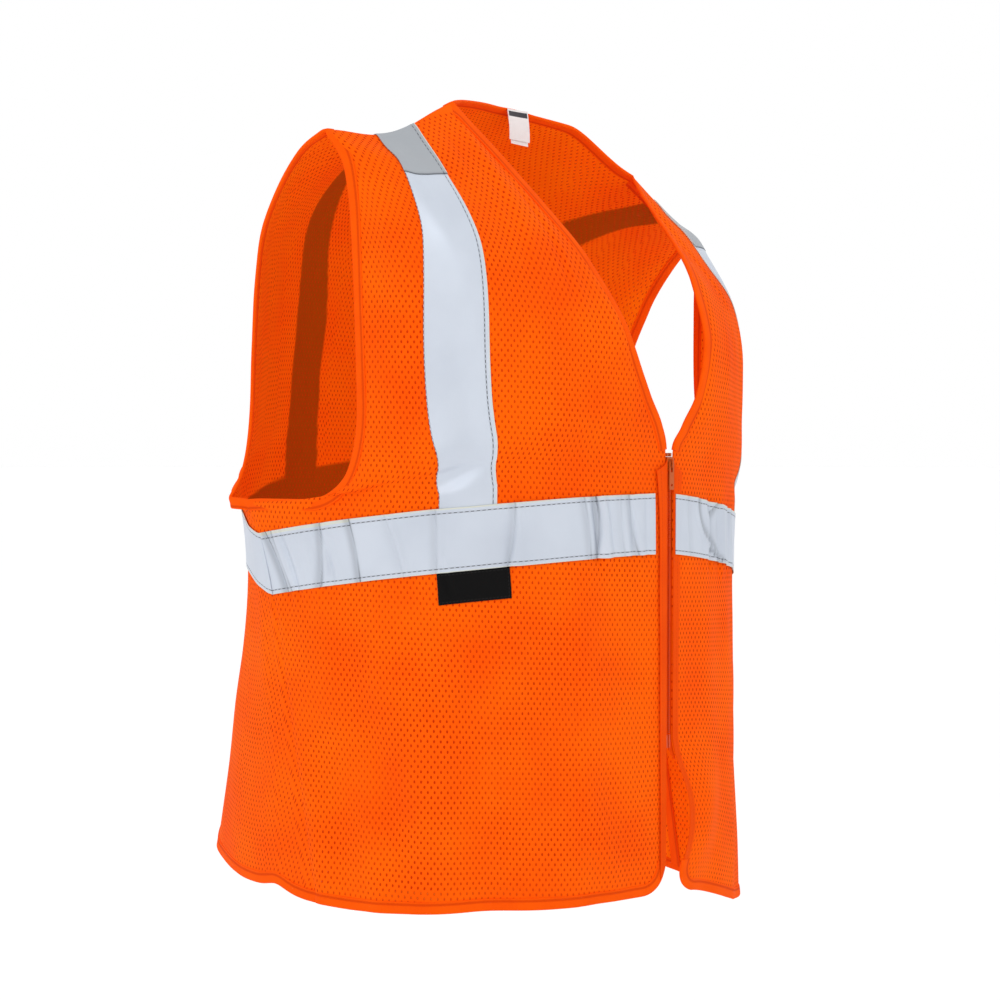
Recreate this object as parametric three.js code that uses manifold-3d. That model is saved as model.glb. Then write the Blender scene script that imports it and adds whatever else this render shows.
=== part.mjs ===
// High visibility vest, size about XL: sleeveless, V-necked, with a zipped front.
// Millimetres, +Z up. The wearer faces -Y, and the wearer's left is +X.
// The origin is the middle of the shoulder line, level with the neck points, where the
// wearer's shoulders or a hanger hold the vest up.
import * as THREE from 'three';
import { mergeVertices } from 'three/addons/utils/BufferGeometryUtils.js';
import Module from 'manifold-3d';

const manifold = await Module();
manifold.setup();

// ---------------------------------------------------------------- driving dimensions
const SHOULDER_Y = -75;          // shoulder line, measured from the middle of the side seams
const CENTRE_FRONT_Y = -228;
const FRONT_EDGE_X = 5;          // each front edge stops this far from the centre
const NECK_POINT = [118, -87, -8];
const SHOULDER_TIP = [238, -64, -49];
const BACK_NECK = [0, -48, 10];
const ZIP_TOP_Z = -299;
const HEM_CORNER_R = 26;

const FABRIC = 1.2;              // knitted mesh
const TRIM_LIFT = 2.2;           // underside of anything sewn on the outside, above the panel's inner face
const LINING = [-2.2, -1.4];     // faces of anything sewn on the inside
const TAPE_WIDTH = 51;           // reflective tape, 2 inches
const TAPE = 0.8;
const TAPE_TOP_FRONT_Z = -331;   // top edge of the waist tape at the centre front
const TAPE_TOP_SIDE_Z = -379;
const TAPE_TOP_BACK_Z = -303;
const BINDING_WIDTH = 8;
const NECK_BINDING_WIDTH = 9;
const BINDING = 1.0;
const BINDING_OVERHANG = 1;      // how far a binding stands past the cloth's edge
const FACING_WIDTH = 17;
const SEAM_GAP = 1;              // between two sewn pieces that lie edge to edge
const FRONT_SIDE_GAP = 4;        // between a front panel and the side seam it swings from

const CHAIN_TOP_Z = -311.4;
const CHAIN_BOTTOM_Z = -535;
const CHAIN_GAP = 0.9;           // half the gap between the two rows of teeth
const CHAIN_WIDTH = 2.1;
const CHAIN_DEPTH = 2.4;
const CHAIN_OFFSET = -0.4;       // middle of the chain, outward from the panel's inner face
const SLIDER_WIDTH = 8.6;
const SLIDER_HEIGHT = 11;
const SLIDER_PLATE = 1;
const CLEARANCE = 0.3;
const PULL_LENGTH = 24;
const PULL_WIDTH = 6;
const PULL_PIVOT = 3.2;          // pull's hinge line, outward from the panel's inner face

// How the vest hangs: the left side sits a little lower than the right.
const LEAN = 0.06;
const LEFT_SHOULDER_DROP = 26;
const LEFT_HEM_DROP = 22;
const RIGHT_SHOULDER_SAG = 14;         // the shoulders hang a little hollow between neck and tip
const LEFT_SHOULDER_SAG = 3;

// ---------------------------------------------------------------- colours
const ORANGE = new THREE.MeshStandardMaterial({ color: 0xfb5d14, roughness: 0.85, metalness: 0, name: 'orange_mesh' });
const TRIM = new THREE.MeshStandardMaterial({ color: 0xfa590f, roughness: 0.8, metalness: 0, name: 'orange_trim' });
const SILVER = new THREE.MeshStandardMaterial({ color: 0xcfd6e1, roughness: 0.45, metalness: 0, name: 'reflective_tape' });
const ZIP_PAINT = new THREE.MeshStandardMaterial({ color: 0xc8560c, roughness: 0.4, metalness: 0.4, name: 'painted_zip_metal' });
const ZIP_NYLON = new THREE.MeshStandardMaterial({ color: 0xe0500a, roughness: 0.5, metalness: 0, name: 'zip_nylon' });
const BLACK = new THREE.MeshStandardMaterial({ color: 0x0a0a0b, roughness: 0.7, metalness: 0, name: 'black_patch' });
const WHITE = new THREE.MeshStandardMaterial({ color: 0xf2eef0, roughness: 0.7, metalness: 0, name: 'white_label' });

// ---------------------------------------------------------------- the form
// Each panel is a stack of level rows from the hem to the shoulder seam. A row runs from its
// inner edge (centre front and neckline, or centre back) to its outer edge (side seam, then
// armhole): [inner x, y, z, outer x, y, z, inner handle, outer handle, pull-in of the outer
// handle, and the share of the row's height gained at each handle].
const FRONT_RISE = [1 / 3, 2 / 3];
const BACK_RISE = [0.15, 0.5];
const UNDERARM_RISE = [0.4, 1.3];    // dips under the armhole, then comes up to the side seam
const FRONT_ROWS = [
  [FRONT_EDGE_X, CENTRE_FRONT_Y, -668, 240, -52, -684, 0.52, 0.50, 0, ...FRONT_RISE],
  [FRONT_EDGE_X, CENTRE_FRONT_Y, -530, 242, -25, -545, 0.55, 0.55, 0, ...FRONT_RISE],
  [FRONT_EDGE_X, CENTRE_FRONT_Y, -400, 243, 0, -425, 0.55, 0.55, 0, ...FRONT_RISE],
  [FRONT_EDGE_X, CENTRE_FRONT_Y, ZIP_TOP_Z, 252, 20, -352, 0.56, 0.56, 0, ...UNDERARM_RISE],
  [15, -231, -274, 241, -50, -350, 0.47, 0.53, 0.095, ...FRONT_RISE],
  [31, -232, -250, 228, -80, -327, 0.46, 0.50, 0.09, ...FRONT_RISE],
  [42, -230, -226, 221, -85, -283, 0.44, 0.47, 0.05, ...FRONT_RISE],
  [51, -226, -200, 219, -81, -215, 0.45, 0.45, 0.01, ...FRONT_RISE],
  [68, -198, -143, 221, -79, -134, 0.50, 0.48, 0, ...FRONT_RISE],
  [94, -136, -66, 226, -76, -78, 0.48, 0.45, 0, ...FRONT_RISE],
  [...NECK_POINT, ...SHOULDER_TIP, 0.33, 0.33, 0, ...FRONT_RISE],
];
const BACK_ROWS = [
  [0, 236, -655, 240, -52, -684, 0.55, 0.72, -0.02, ...BACK_RISE],
  [0, 196, -535, 242, -25, -545, 0.55, 0.60, 0, ...BACK_RISE],
  [0, 158, -405, 243, 0, -425, 0.55, 0.55, 0.04, ...BACK_RISE],
  [0, 150, -320, 252, 20, -352, 0.55, 0.50, 0.10, ...UNDERARM_RISE],
  [0, 150, -280, 253, 42, -350, 0.50, 0.40, 0.16, ...BACK_RISE],
  [0, 150, -255, 245, 36, -328, 0.50, 0.38, 0.20, ...BACK_RISE],
  [0, 150, -230, 241, 29, -283, 0.50, 0.38, 0.20, ...BACK_RISE],
  [0, 142, -190, 241, 24, -200, 0.50, 0.38, 0.20, ...BACK_RISE],
  [0, 118, -115, 248, 2, -124, 0.50, 0.40, 0.20, ...BACK_RISE],
  [0, 50, -36, 246, -41, -66, 0.45, 0.40, 0.14, ...BACK_RISE],
  [...BACK_NECK, ...SHOULDER_TIP, 0.40, 0.33, 0, ...BACK_RISE],
];
const TOP_ROW = FRONT_ROWS.length - 1;
const UNDERARM_ROW = 3;
const NECK_SHARE = 0.46;             // share of the back's top row that is neckline
const EDGE_NORMAL_SHARE = 0.965;     // rows run along the armhole's edge there, so normals are taken short of it

function smoothstep(x, from, to) {
  return THREE.MathUtils.smoothstep(x, from, to);
}

// Monotone cubic through the rows, so that straight stretches stay straight.
function rowAt(rows, t) {
  const i = Math.min(Math.max(Math.floor(t), 0), rows.length - 2);
  const f = t - i;
  return rows[0].map((_, k) => {
    const slope = (j) => rows[j + 1][k] - rows[j][k];
    const tangent = (j) => {
      if (j === 0) return slope(0);
      if (j === rows.length - 1) return slope(j - 1);
      const [a, b] = [slope(j - 1), slope(j)];
      return a * b > 0 ? (2 * a * b) / (a + b) : 0;
    };
    return (2 * f ** 3 - 3 * f ** 2 + 1) * rows[i][k] + (f ** 3 - 2 * f ** 2 + f) * tangent(i)
      + (3 * f ** 2 - 2 * f ** 3) * rows[i + 1][k] + (f ** 3 - f ** 2) * tangent(i + 1);
  });
}

function pointOnRow(row, u) {
  const [ix, iy, iz, ox, oy, oz, inner, outer, pullIn, riseA, riseB] = row;
  const curve = new THREE.CubicBezierCurve3(
    new THREE.Vector3(ix, iy, iz),
    new THREE.Vector3(ix + inner * (ox - ix), iy, iz + (oz - iz) * riseA),
    new THREE.Vector3(ox * (1 - pullIn), oy + outer * (iy - oy), iz + (oz - iz) * riseB),
    new THREE.Vector3(ox, oy, oz),
  );
  return curve.getPoint(u);
}

// The point of the back's top row: neckline arc, then shoulder seam.
function backTop(a) {
  const neck = new THREE.Vector3(...NECK_POINT);
  if (a > NECK_SHARE) {
    return neck.lerp(new THREE.Vector3(...SHOULDER_TIP), (a - NECK_SHARE) / (1 - NECK_SHARE));
  }
  const f = a / NECK_SHARE;
  const [, backY, backZ] = BACK_NECK;
  return new THREE.Vector3(neck.x * f, backY + (neck.y - backY) * f ** 2, backZ + (neck.z - backZ) * f ** 2.4);
}

function frontForm(side) {
  return (u, t) => {
    const p = pointOnRow(rowAt(FRONT_ROWS, t), u);
    return p.setX(side * p.x);
  };
}

// The back runs from u = -1 at the right side to u = 1 at the left side.
function backForm(u, t) {
  const a = Math.abs(u);
  const p = pointOnRow(rowAt(BACK_ROWS, t), a);
  const offset = backTop(a).sub(pointOnRow(BACK_ROWS[TOP_ROW], a));
  p.addScaledVector(offset, smoothstep(t, TOP_ROW - 1.7, TOP_ROW));
  return p.setX(Math.sign(u) * p.x);
}

// Settles a point of the even form into the way the vest hangs, in the part's own frame.
function settle(p) {
  const shoulder = LEFT_SHOULDER_DROP * smoothstep(p.x, 60, 122) * smoothstep(p.z, -260, -20);
  const hem = LEFT_HEM_DROP * smoothstep(p.x, 20, 160) * smoothstep(-p.z, 400, 660);
  const span = THREE.MathUtils.clamp((Math.abs(p.x) - NECK_POINT[0]) / (SHOULDER_TIP[0] - NECK_POINT[0]), 0, 1);
  const deepest = p.x < 0 ? RIGHT_SHOULDER_SAG : LEFT_SHOULDER_SAG;
  const sag = deepest * Math.sin(Math.PI * span) ** 1.5 * smoothstep(p.z, -170, -30);
  return new THREE.Vector3(p.x, p.y - SHOULDER_Y, p.z - LEAN * p.x - shoulder - hem - sag);
}

// A surface gives the settled point and the outward normal at (u, t).
function surface(form, normalSign) {
  const at = (u, t) => settle(form(u, t));
  const step = 1e-3;
  const normal = (share, t) => {
    const u = THREE.MathUtils.clamp(share, -EDGE_NORMAL_SHARE, EDGE_NORMAL_SHARE);
    const du = at(u + step, t).sub(at(u - step, t));
    const t0 = Math.max(t - step, 0);
    const t1 = Math.min(t + step, TOP_ROW);
    const dt = at(u, t1).sub(at(u, t0));
    return du.cross(dt).normalize().multiplyScalar(normalSign);
  };
  return { at, normal, form };
}

const FRONT = { right: surface(frontForm(-1), -1), left: surface(frontForm(1), 1) };
const BACK = surface(backForm, -1);
const SIDE_SIGN = { right: -1, left: 1 };

// The row on which a column reaches a height of the even form.
function rowForHeight(form, u, z) {
  let low = 0;
  let high = TOP_ROW;
  for (let i = 0; i < 40; i += 1) {
    const middle = (low + high) / 2;
    if (form(u, middle).z < z) low = middle; else high = middle;
  }
  return (low + high) / 2;
}

// How far t has to move down a column from the top row to cover a distance in millimetres.
function shareOfTopRow(on, u, distance) {
  const step = 0.05;
  return (distance * step) / on.at(u, TOP_ROW).distanceTo(on.at(u, TOP_ROW - step));
}

// How far u has to move along a row to cover a distance in millimetres.
function shareOfRow(on, u, t, distance) {
  const step = 1e-3;
  return (distance * step) / on.at(u + step, t).distanceTo(on.at(u, t));
}

// ---------------------------------------------------------------- solids
function signedVolume(geometry) {
  const p = geometry.attributes.position;
  const index = geometry.index.array;
  const [a, b, c] = [new THREE.Vector3(), new THREE.Vector3(), new THREE.Vector3()];
  let sum = 0;
  for (let i = 0; i < index.length; i += 3) {
    a.fromBufferAttribute(p, index[i]);
    b.fromBufferAttribute(p, index[i + 1]);
    c.fromBufferAttribute(p, index[i + 2]);
    sum += a.dot(b.cross(c));
  }
  return sum;
}

function turnOutward(geometry) {
  if (signedVolume(geometry) < 0) {
    const index = geometry.index.array;
    for (let i = 0; i < index.length; i += 3) {
      [index[i + 1], index[i + 2]] = [index[i + 2], index[i + 1]];
    }
  }
  return geometry;
}

function positionsOnly(geometry) {
  const copy = geometry.clone();
  copy.deleteAttribute('normal');
  copy.deleteAttribute('uv');
  return mergeVertices(copy, 1e-4);
}

// A block bent into place: place(a, b, h) gets its width, length and thickness as shares.
function bentBlock(across, along, place) {
  const block = positionsOnly(new THREE.BoxGeometry(1, 1, 1, across, along, 1));
  const p = block.attributes.position;
  for (let i = 0; i < p.count; i += 1) {
    const { x, y, z } = place(p.getX(i) + 0.5, p.getY(i) + 0.5, p.getZ(i) + 0.5);
    p.setXYZ(i, x, y, z);
  }
  return turnOutward(block);
}

// A sheet between two offsets from a surface, where cut(a, b) gives its (u, t).
function sheet(on, across, along, cut, low, high) {
  return bentBlock(across, along, (a, b, h) => {
    const [u, t] = cut(a, b);
    return on.at(u, t).addScaledVector(on.normal(u, t), low + (high - low) * h);
  });
}

// A strip along an edge of a surface: path(s) gives its (u, t), and side tells which side is inward.
function edgeStrip(on, along, path, side, [outward, inward], low, high) {
  const step = 1e-3;
  return bentBlock(1, along, (a, b, h) => {
    const [u, t] = path(b);
    const ahead = on.at(...path(Math.min(b + step, 1)));
    const behind = on.at(...path(Math.max(b - step, 0)));
    const normal = on.normal(u, t);
    const across = normal.clone().cross(ahead.sub(behind)).normalize().multiplyScalar(side);
    return on.at(u, t).addScaledVector(across, outward + (inward - outward) * a)
      .addScaledVector(normal, low + (high - low) * h);
  });
}

function toManifold(geometry) {
  const clean = positionsOnly(geometry);
  return new manifold.Manifold(new manifold.Mesh({
    numProp: 3,
    vertProperties: clean.attributes.position.array,
    triVerts: Uint32Array.from(clean.index.array),
  }));
}

function joined(...geometries) {
  const mesh = geometries.map(toManifold).reduce((whole, next) => whole.add(next)).getMesh();
  const geometry = new THREE.BufferGeometry();
  geometry.setAttribute('position', new THREE.BufferAttribute(mesh.vertProperties, 3));
  geometry.setIndex(new THREE.BufferAttribute(mesh.triVerts, 1));
  return geometry;
}

// A box between two corners given as x, offset outward from the front panel, z.
function frontBox([x0, out0, z0], [x1, out1, z1]) {
  const box = new THREE.BoxGeometry(x1 - x0, out1 - out0, z1 - z0);
  return box.translate((x0 + x1) / 2, frontY((out0 + out1) / 2), (z0 + z1) / 2);
}

function frontY(out) {
  return CENTRE_FRONT_Y - SHOULDER_Y - out;
}

const vest = new THREE.Group();

function add(name, geometry, material) {
  const mesh = new THREE.Mesh(geometry, material);
  mesh.name = name;
  vest.add(mesh);
}

// ---------------------------------------------------------------- panels
// Height of the rounded front hem corner above the hem, as a share of the first row.
function hemCornerRow(side, u) {
  const fromEdge = Math.abs(frontForm(side)(u, 0).x) - FRONT_EDGE_X;
  if (fromEdge >= HEM_CORNER_R) return 0;
  const rise = HEM_CORNER_R - Math.sqrt(HEM_CORNER_R ** 2 - (HEM_CORNER_R - fromEdge) ** 2);
  return rise / (FRONT_ROWS[1][2] - FRONT_ROWS[0][2]);
}

// Spreads the columns so that the rounded corner gets enough of them.
function columnShare(a) {
  return a ** 1.4;
}

function frontPanel(name) {
  const on = FRONT[name];
  const sign = SIDE_SIGN[name];
  add(`${name}_front_panel`, sheet(on, 13, 28, (a, b) => {
    const column = columnShare(a);
    const t = THREE.MathUtils.lerp(hemCornerRow(sign, column), TOP_ROW - 0.03, b);
    const gap = shareOfRow(on, 0.98, t, t < UNDERARM_ROW ? FRONT_SIDE_GAP : 0.5);
    return [column * (1 - gap), t];
  }, 0, FABRIC), ORANGE);
}

// Spreads the back's columns so that the tight bends by the side seams get enough of them.
const BACK_COLUMNS = 32;
function backColumn(a) {
  const u = 2 * a - 1;
  return u * (1.45 - 0.45 * Math.abs(u));
}

function backPanel() {
  add('back_panel', sheet(BACK, BACK_COLUMNS, 28, (a, b) => {
    const t = b * (TOP_ROW - 0.03);
    return [backColumn(a) * (1 - shareOfRow(BACK, 0.98, t, SEAM_GAP)), t];
  }, 0, FABRIC), ORANGE);
}

// ---------------------------------------------------------------- reflective tapes
// Height of the waist tape's top edge: it dips from the centre to the side seams.
function waistTapeTop(centreZ, power, a) {
  return THREE.MathUtils.lerp(centreZ, TAPE_TOP_SIDE_Z, a ** power);
}

function frontWaistTape(name) {
  const on = FRONT[name];
  const from = shareOfRow(on, 0, 2, FACING_WIDTH + SEAM_GAP);
  const to = 1 - shareOfRow(on, 0.98, 2, FRONT_SIDE_GAP);
  add(`${name}_front_waist_tape`, sheet(on, 14, 2, (a, b) => {
    const u = THREE.MathUtils.lerp(from, to, a);
    const z = waistTapeTop(TAPE_TOP_FRONT_Z, 1.3, u) - TAPE_WIDTH * (1 - b);
    return [u, rowForHeight(on.form, u, z)];
  }, TRIM_LIFT, TRIM_LIFT + TAPE), SILVER);
}

function backWaistTape() {
  const reach = 1 - shareOfRow(BACK, 0.98, 2, SEAM_GAP);
  add('back_waist_tape', sheet(BACK, BACK_COLUMNS, 2, (a, b) => {
    const u = backColumn(a) * reach;
    const z = waistTapeTop(TAPE_TOP_BACK_Z, 1.05, Math.abs(u)) - TAPE_WIDTH * (1 - b);
    return [u, rowForHeight(BACK.form, u, z)];
  }, TRIM_LIFT, TRIM_LIFT + TAPE), SILVER);
}

// Edges of the brace tapes, as shares of a row: [row, inner edge, outer edge], waist to shoulder.
const FRONT_BRACE = [[2.6, 0.42, 0.55], [6.3, 0.49, 0.68], [7.8, 0.455, 0.66], [8.7, 0.375, 0.59], [9.95, 0.31, 0.535]];
const BACK_BRACE = [[3, 0.19, 0.33], [4.8, 0.21, 0.355], [7.5, 0.25, 0.42], [8.8, 0.50, 0.66], [9.95, 0.63, 0.80]];

function between(stops, t, k) {
  const i = Math.max(1, stops.findIndex((stop) => stop[0] >= t));
  const [a, b] = [stops[i - 1], stops[i]];
  return THREE.MathUtils.lerp(a[k], b[k], smoothstep(t, a[0], b[0]));
}

function braceTape(name, on, stops, sign, waistTop) {
  add(name, sheet(on, 4, 28, (a, b) => {
    const foot = (k) => rowForHeight(on.form, sign * stops[0][k], waistTop(stops[0][k]) + SEAM_GAP);
    const t = THREE.MathUtils.lerp(THREE.MathUtils.lerp(foot(1), foot(2), a), stops.at(-1)[0], b);
    const u = THREE.MathUtils.lerp(between(stops, t, 1), between(stops, t, 2), a);
    return [sign * u, t];
  }, TRIM_LIFT, TRIM_LIFT + TAPE), SILVER);
}

// ---------------------------------------------------------------- bindings, facings and seams
function binding(name, on, along, path, side, width = BINDING_WIDTH) {
  add(name, edgeStrip(on, along, path, side, [-BINDING_OVERHANG, width], TRIM_LIFT, TRIM_LIFT + BINDING), TRIM);
}

function frontTrims(name) {
  const on = FRONT[name];
  const sign = SIDE_SIGN[name];
  const fromUnderarm = (s) => THREE.MathUtils.lerp(UNDERARM_ROW + 0.08, TOP_ROW - 0.05, s);
  binding(`${name}_neck_binding`, on, 20, (s) => [0, fromUnderarm(s)], -sign, NECK_BINDING_WIDTH);
  binding(`${name}_front_armhole_binding`, on, 26, (s) => [1, THREE.MathUtils.lerp(UNDERARM_ROW + 1.55, TOP_ROW - 0.05, s)], sign);
  binding(`${name}_front_hem_binding`, on, 20, (s) => {
    const u = s ** 1.6 * 0.985;
    return [u, hemCornerRow(sign, u)];
  }, sign);
  const facingFoot = (HEM_CORNER_R + BINDING_WIDTH) / (FRONT_ROWS[1][2] - FRONT_ROWS[0][2]);
  add(`${name}_front_facing`, sheet(on, 1, 12, (a, b) => {
    const t = THREE.MathUtils.lerp(facingFoot, UNDERARM_ROW, b);
    return [shareOfRow(on, 0, t, FACING_WIDTH) * a, t];
  }, TRIM_LIFT, TRIM_LIFT + BINDING), TRIM);
}

function backTrims() {
  add('back_neck_binding', sheet(BACK, 20, 1, (a, b) => {
    const u = (2 * a - 1) * (NECK_SHARE - 0.05);
    return [u, TOP_ROW - shareOfTopRow(BACK, u, NECK_BINDING_WIDTH) * (1 - b)];
  }, TRIM_LIFT, TRIM_LIFT + BINDING), TRIM);
  binding('back_hem_binding', BACK, 26, (s) => [(2 * s - 1) * 0.985, 0], -1);
  for (const name of ['right', 'left']) {
    const sign = SIDE_SIGN[name];
    const path = (s) => [sign, THREE.MathUtils.lerp(UNDERARM_ROW + 1.15, TOP_ROW - 0.08, s)];
    binding(`${name}_back_armhole_binding`, BACK, 26, path, -sign);
    add(`${name}_side_seam`, edgeStrip(BACK, 12, (s) => [sign, s * (UNDERARM_ROW - 0.2)], -sign, [-2, 4], ...LINING), TRIM);
    add(`${name}_shoulder_seam`, shoulderSeam(sign), TRIM);
  }
}

// A narrow ridge over the line where the front and back are sewn together.
function shoulderSeam(sign) {
  const halfWidth = 3;
  return bentBlock(1, 4, (a, b, h) => {
    const u = sign * THREE.MathUtils.lerp(NECK_SHARE + 0.06, 0.93, b);
    return BACK.at(u, TOP_ROW).add(new THREE.Vector3(0, halfWidth * (2 * a - 1), 2.6 + BINDING * h));
  });
}

// ---------------------------------------------------------------- labels and pocket
function rectangleOn(on, uRange, zRange) {
  return (a, b) => {
    const u = THREE.MathUtils.lerp(...uRange, a);
    return [u, rowForHeight(on.form, u, THREE.MathUtils.lerp(...zRange, b))];
  };
}

function labels() {
  const patchTop = (u) => waistTapeTop(TAPE_TOP_FRONT_Z, 1.3, u) - TAPE_WIDTH - SEAM_GAP;
  add('chest_patch', sheet(FRONT.right, 4, 1, (a, b) => {
    const u = THREE.MathUtils.lerp(0.40, 0.57, a);
    return [u, rowForHeight(FRONT.right.form, u, patchTop(u) - 25 * (1 - b))];
  }, TRIM_LIFT, TRIM_LIFT + 0.6), BLACK);
  const [outer, inner] = [-2.8, -4.4];
  add('size_label', sheet(BACK, 4, 6, rectangleOn(BACK, [-0.045, 0.05], [-20, 4]), outer, outer + 0.8), WHITE);
  add('care_label', sheet(BACK, 4, 6, rectangleOn(BACK, [-0.03, 0.06], [-23, 3]), inner, inner + 0.8), WHITE);
}

function insidePocket() {
  const on = FRONT.right;
  add('inside_pocket', sheet(on, 14, 6, (a, b) => {
    const u = THREE.MathUtils.lerp(0.25, 0.955, a);
    const topZ = THREE.MathUtils.lerp(-486, -512, a);
    return [u, THREE.MathUtils.lerp(0.1, rowForHeight(on.form, u, topZ), b)];
  }, ...LINING), ORANGE);
}

// ---------------------------------------------------------------- zip
function zipHalf(name) {
  const sign = SIDE_SIGN[name];
  const on = FRONT[name];
  const chainOuter = CHAIN_GAP + CHAIN_WIDTH;
  const footRow = rowForHeight(on.form, 0, CHAIN_BOTTOM_Z - 12);
  add(`${name}_zip_tape`, sheet(on, 2, 12, (a, b) => {
    const t = THREE.MathUtils.lerp(footRow, UNDERARM_ROW, b);
    const inner = -shareOfRow(on, 0, t, FRONT_EDGE_X - chainOuter - CLEARANCE);
    return [THREE.MathUtils.lerp(inner, shareOfRow(on, 0, t, 12), a), t];
  }, -1.5, -0.7), TRIM);
  const strip = (inX, outX, low, high, z0, z1) => {
    const [x0, x1] = sign > 0 ? [inX, outX] : [-outX, -inX];
    return frontBox([x0, low, z0], [x1, high, z1]);
  };
  const back = CHAIN_OFFSET - CHAIN_DEPTH / 2;
  const front = CHAIN_OFFSET + CHAIN_DEPTH / 2;
  add(`${name}_zip_teeth`, strip(CHAIN_GAP, chainOuter, back, front, CHAIN_BOTTOM_Z, CHAIN_TOP_Z), ZIP_NYLON);
  const stopZ = CHAIN_TOP_Z + SLIDER_HEIGHT + 2 * CLEARANCE;
  add(`${name}_top_stop`, strip(CHAIN_GAP, chainOuter, back, front, stopZ, stopZ + 3), ZIP_PAINT);
  const footTop = CHAIN_BOTTOM_Z - CLEARANCE;
  if (name === 'left') {
    add('retainer_box', strip(0.5, 5.5, back - 0.6 - CLEARANCE, back - CLEARANCE, footTop - 11, footTop), ZIP_NYLON);
  }
  add(name === 'left' ? 'fixed_pin' : 'insertion_pin', strip(CHAIN_GAP, 2.6, back, front, footTop - 11, footTop), ZIP_NYLON);
}

// A plate with round corners in the plane of the front.
function platePath(width, height, radius) {
  const [x, z] = [width / 2, height / 2];
  const shape = new THREE.Shape();
  shape.moveTo(-x + radius, -z);
  shape.lineTo(x - radius, -z).absarc(x - radius, -z + radius, radius, -Math.PI / 2, 0);
  shape.lineTo(x, z - radius).absarc(x - radius, z - radius, radius, 0, Math.PI / 2);
  shape.lineTo(-x + radius, z).absarc(-x + radius, z - radius, radius, Math.PI / 2, Math.PI);
  shape.lineTo(-x, -z + radius).absarc(-x + radius, -z + radius, radius, Math.PI, 1.5 * Math.PI);
  return shape;
}

// Extrudes a shape drawn in x and z so that it stands between two offsets from the front.
function frontPlate(shape, low, high, z) {
  const plate = new THREE.ExtrudeGeometry(shape, { depth: high - low, bevelEnabled: false, curveSegments: 5 });
  return plate.rotateX(Math.PI / 2).translate(0, frontY(low), z);
}

// Two plates joined by a post, and a bail over the front plate that carries the pull.
function slider() {
  const middle = CHAIN_TOP_Z + CLEARANCE + SLIDER_HEIGHT / 2;
  const back = CHAIN_OFFSET - CHAIN_DEPTH / 2 - CLEARANCE;
  const front = CHAIN_OFFSET + CHAIN_DEPTH / 2 + CLEARANCE;
  const outline = platePath(SLIDER_WIDTH, SLIDER_HEIGHT, 2.2);
  const postTop = middle + SLIDER_HEIGHT / 2 - 0.6;
  const bail = { half: 0.8, foot: 1.4, low: middle - 3.6, high: middle + 3.6, top: PULL_PIVOT + 2 };
  add('slider_body', joined(
    frontPlate(outline, front, front + SLIDER_PLATE, middle),
    frontPlate(outline, back - SLIDER_PLATE, back, middle),
    frontBox([-0.6, back - 0.5, postTop - 4], [0.6, front + 0.5, postTop]),
    frontBox([-bail.half, front + 0.5, bail.low], [bail.half, bail.top, bail.low + bail.foot]),
    frontBox([-bail.half, front + 0.5, bail.high - bail.foot], [bail.half, bail.top, bail.high]),
    frontBox([-bail.half, bail.top - 1, bail.low], [bail.half, bail.top, bail.high]),
  ), ZIP_PAINT);
}

// A flat pull that hangs from the bail: a window at the top clears the bail as it swings.
function pullTab() {
  const pivotZ = CHAIN_TOP_Z + CLEARANCE + SLIDER_HEIGHT / 2 + 1.2;
  const thickness = 1.1;
  const bar = 0.6;
  const shape = platePath(PULL_WIDTH, PULL_LENGTH, 1.6);
  const windowTop = PULL_LENGTH / 2 - 2 * bar;
  const window = new THREE.Path();
  window.moveTo(-1.3, windowTop).lineTo(-1.3, windowTop - 8).lineTo(1.3, windowTop - 8).lineTo(1.3, windowTop);
  window.closePath();
  const hole = new THREE.Path();
  hole.absarc(0, -PULL_LENGTH / 2 + 4, 1.2, 0, 2 * Math.PI);
  shape.holes.push(window, hole);
  const middleZ = pivotZ - PULL_LENGTH / 2 + bar;
  add('pull_tab', frontPlate(shape, PULL_PIVOT - thickness / 2, PULL_PIVOT + thickness / 2, middleZ), ZIP_PAINT);
}

// ---------------------------------------------------------------- assembly
backPanel();
backWaistTape();
backTrims();
labels();
for (const name of ['right', 'left']) {
  const sign = SIDE_SIGN[name];
  frontPanel(name);
  frontWaistTape(name);
  frontTrims(name);
  braceTape(`${name}_front_brace_tape`, FRONT[name], FRONT_BRACE, 1, (a) => waistTapeTop(TAPE_TOP_FRONT_Z, 1.3, a));
  braceTape(`${name}_back_brace_tape`, BACK, BACK_BRACE, sign, (a) => waistTapeTop(TAPE_TOP_BACK_Z, 1.05, a));
  zipHalf(name);
}
insidePocket();
slider();
pullTab();

export default vest;
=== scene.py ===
import math

import bpy
import numpy as np
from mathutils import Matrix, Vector, noise


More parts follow.
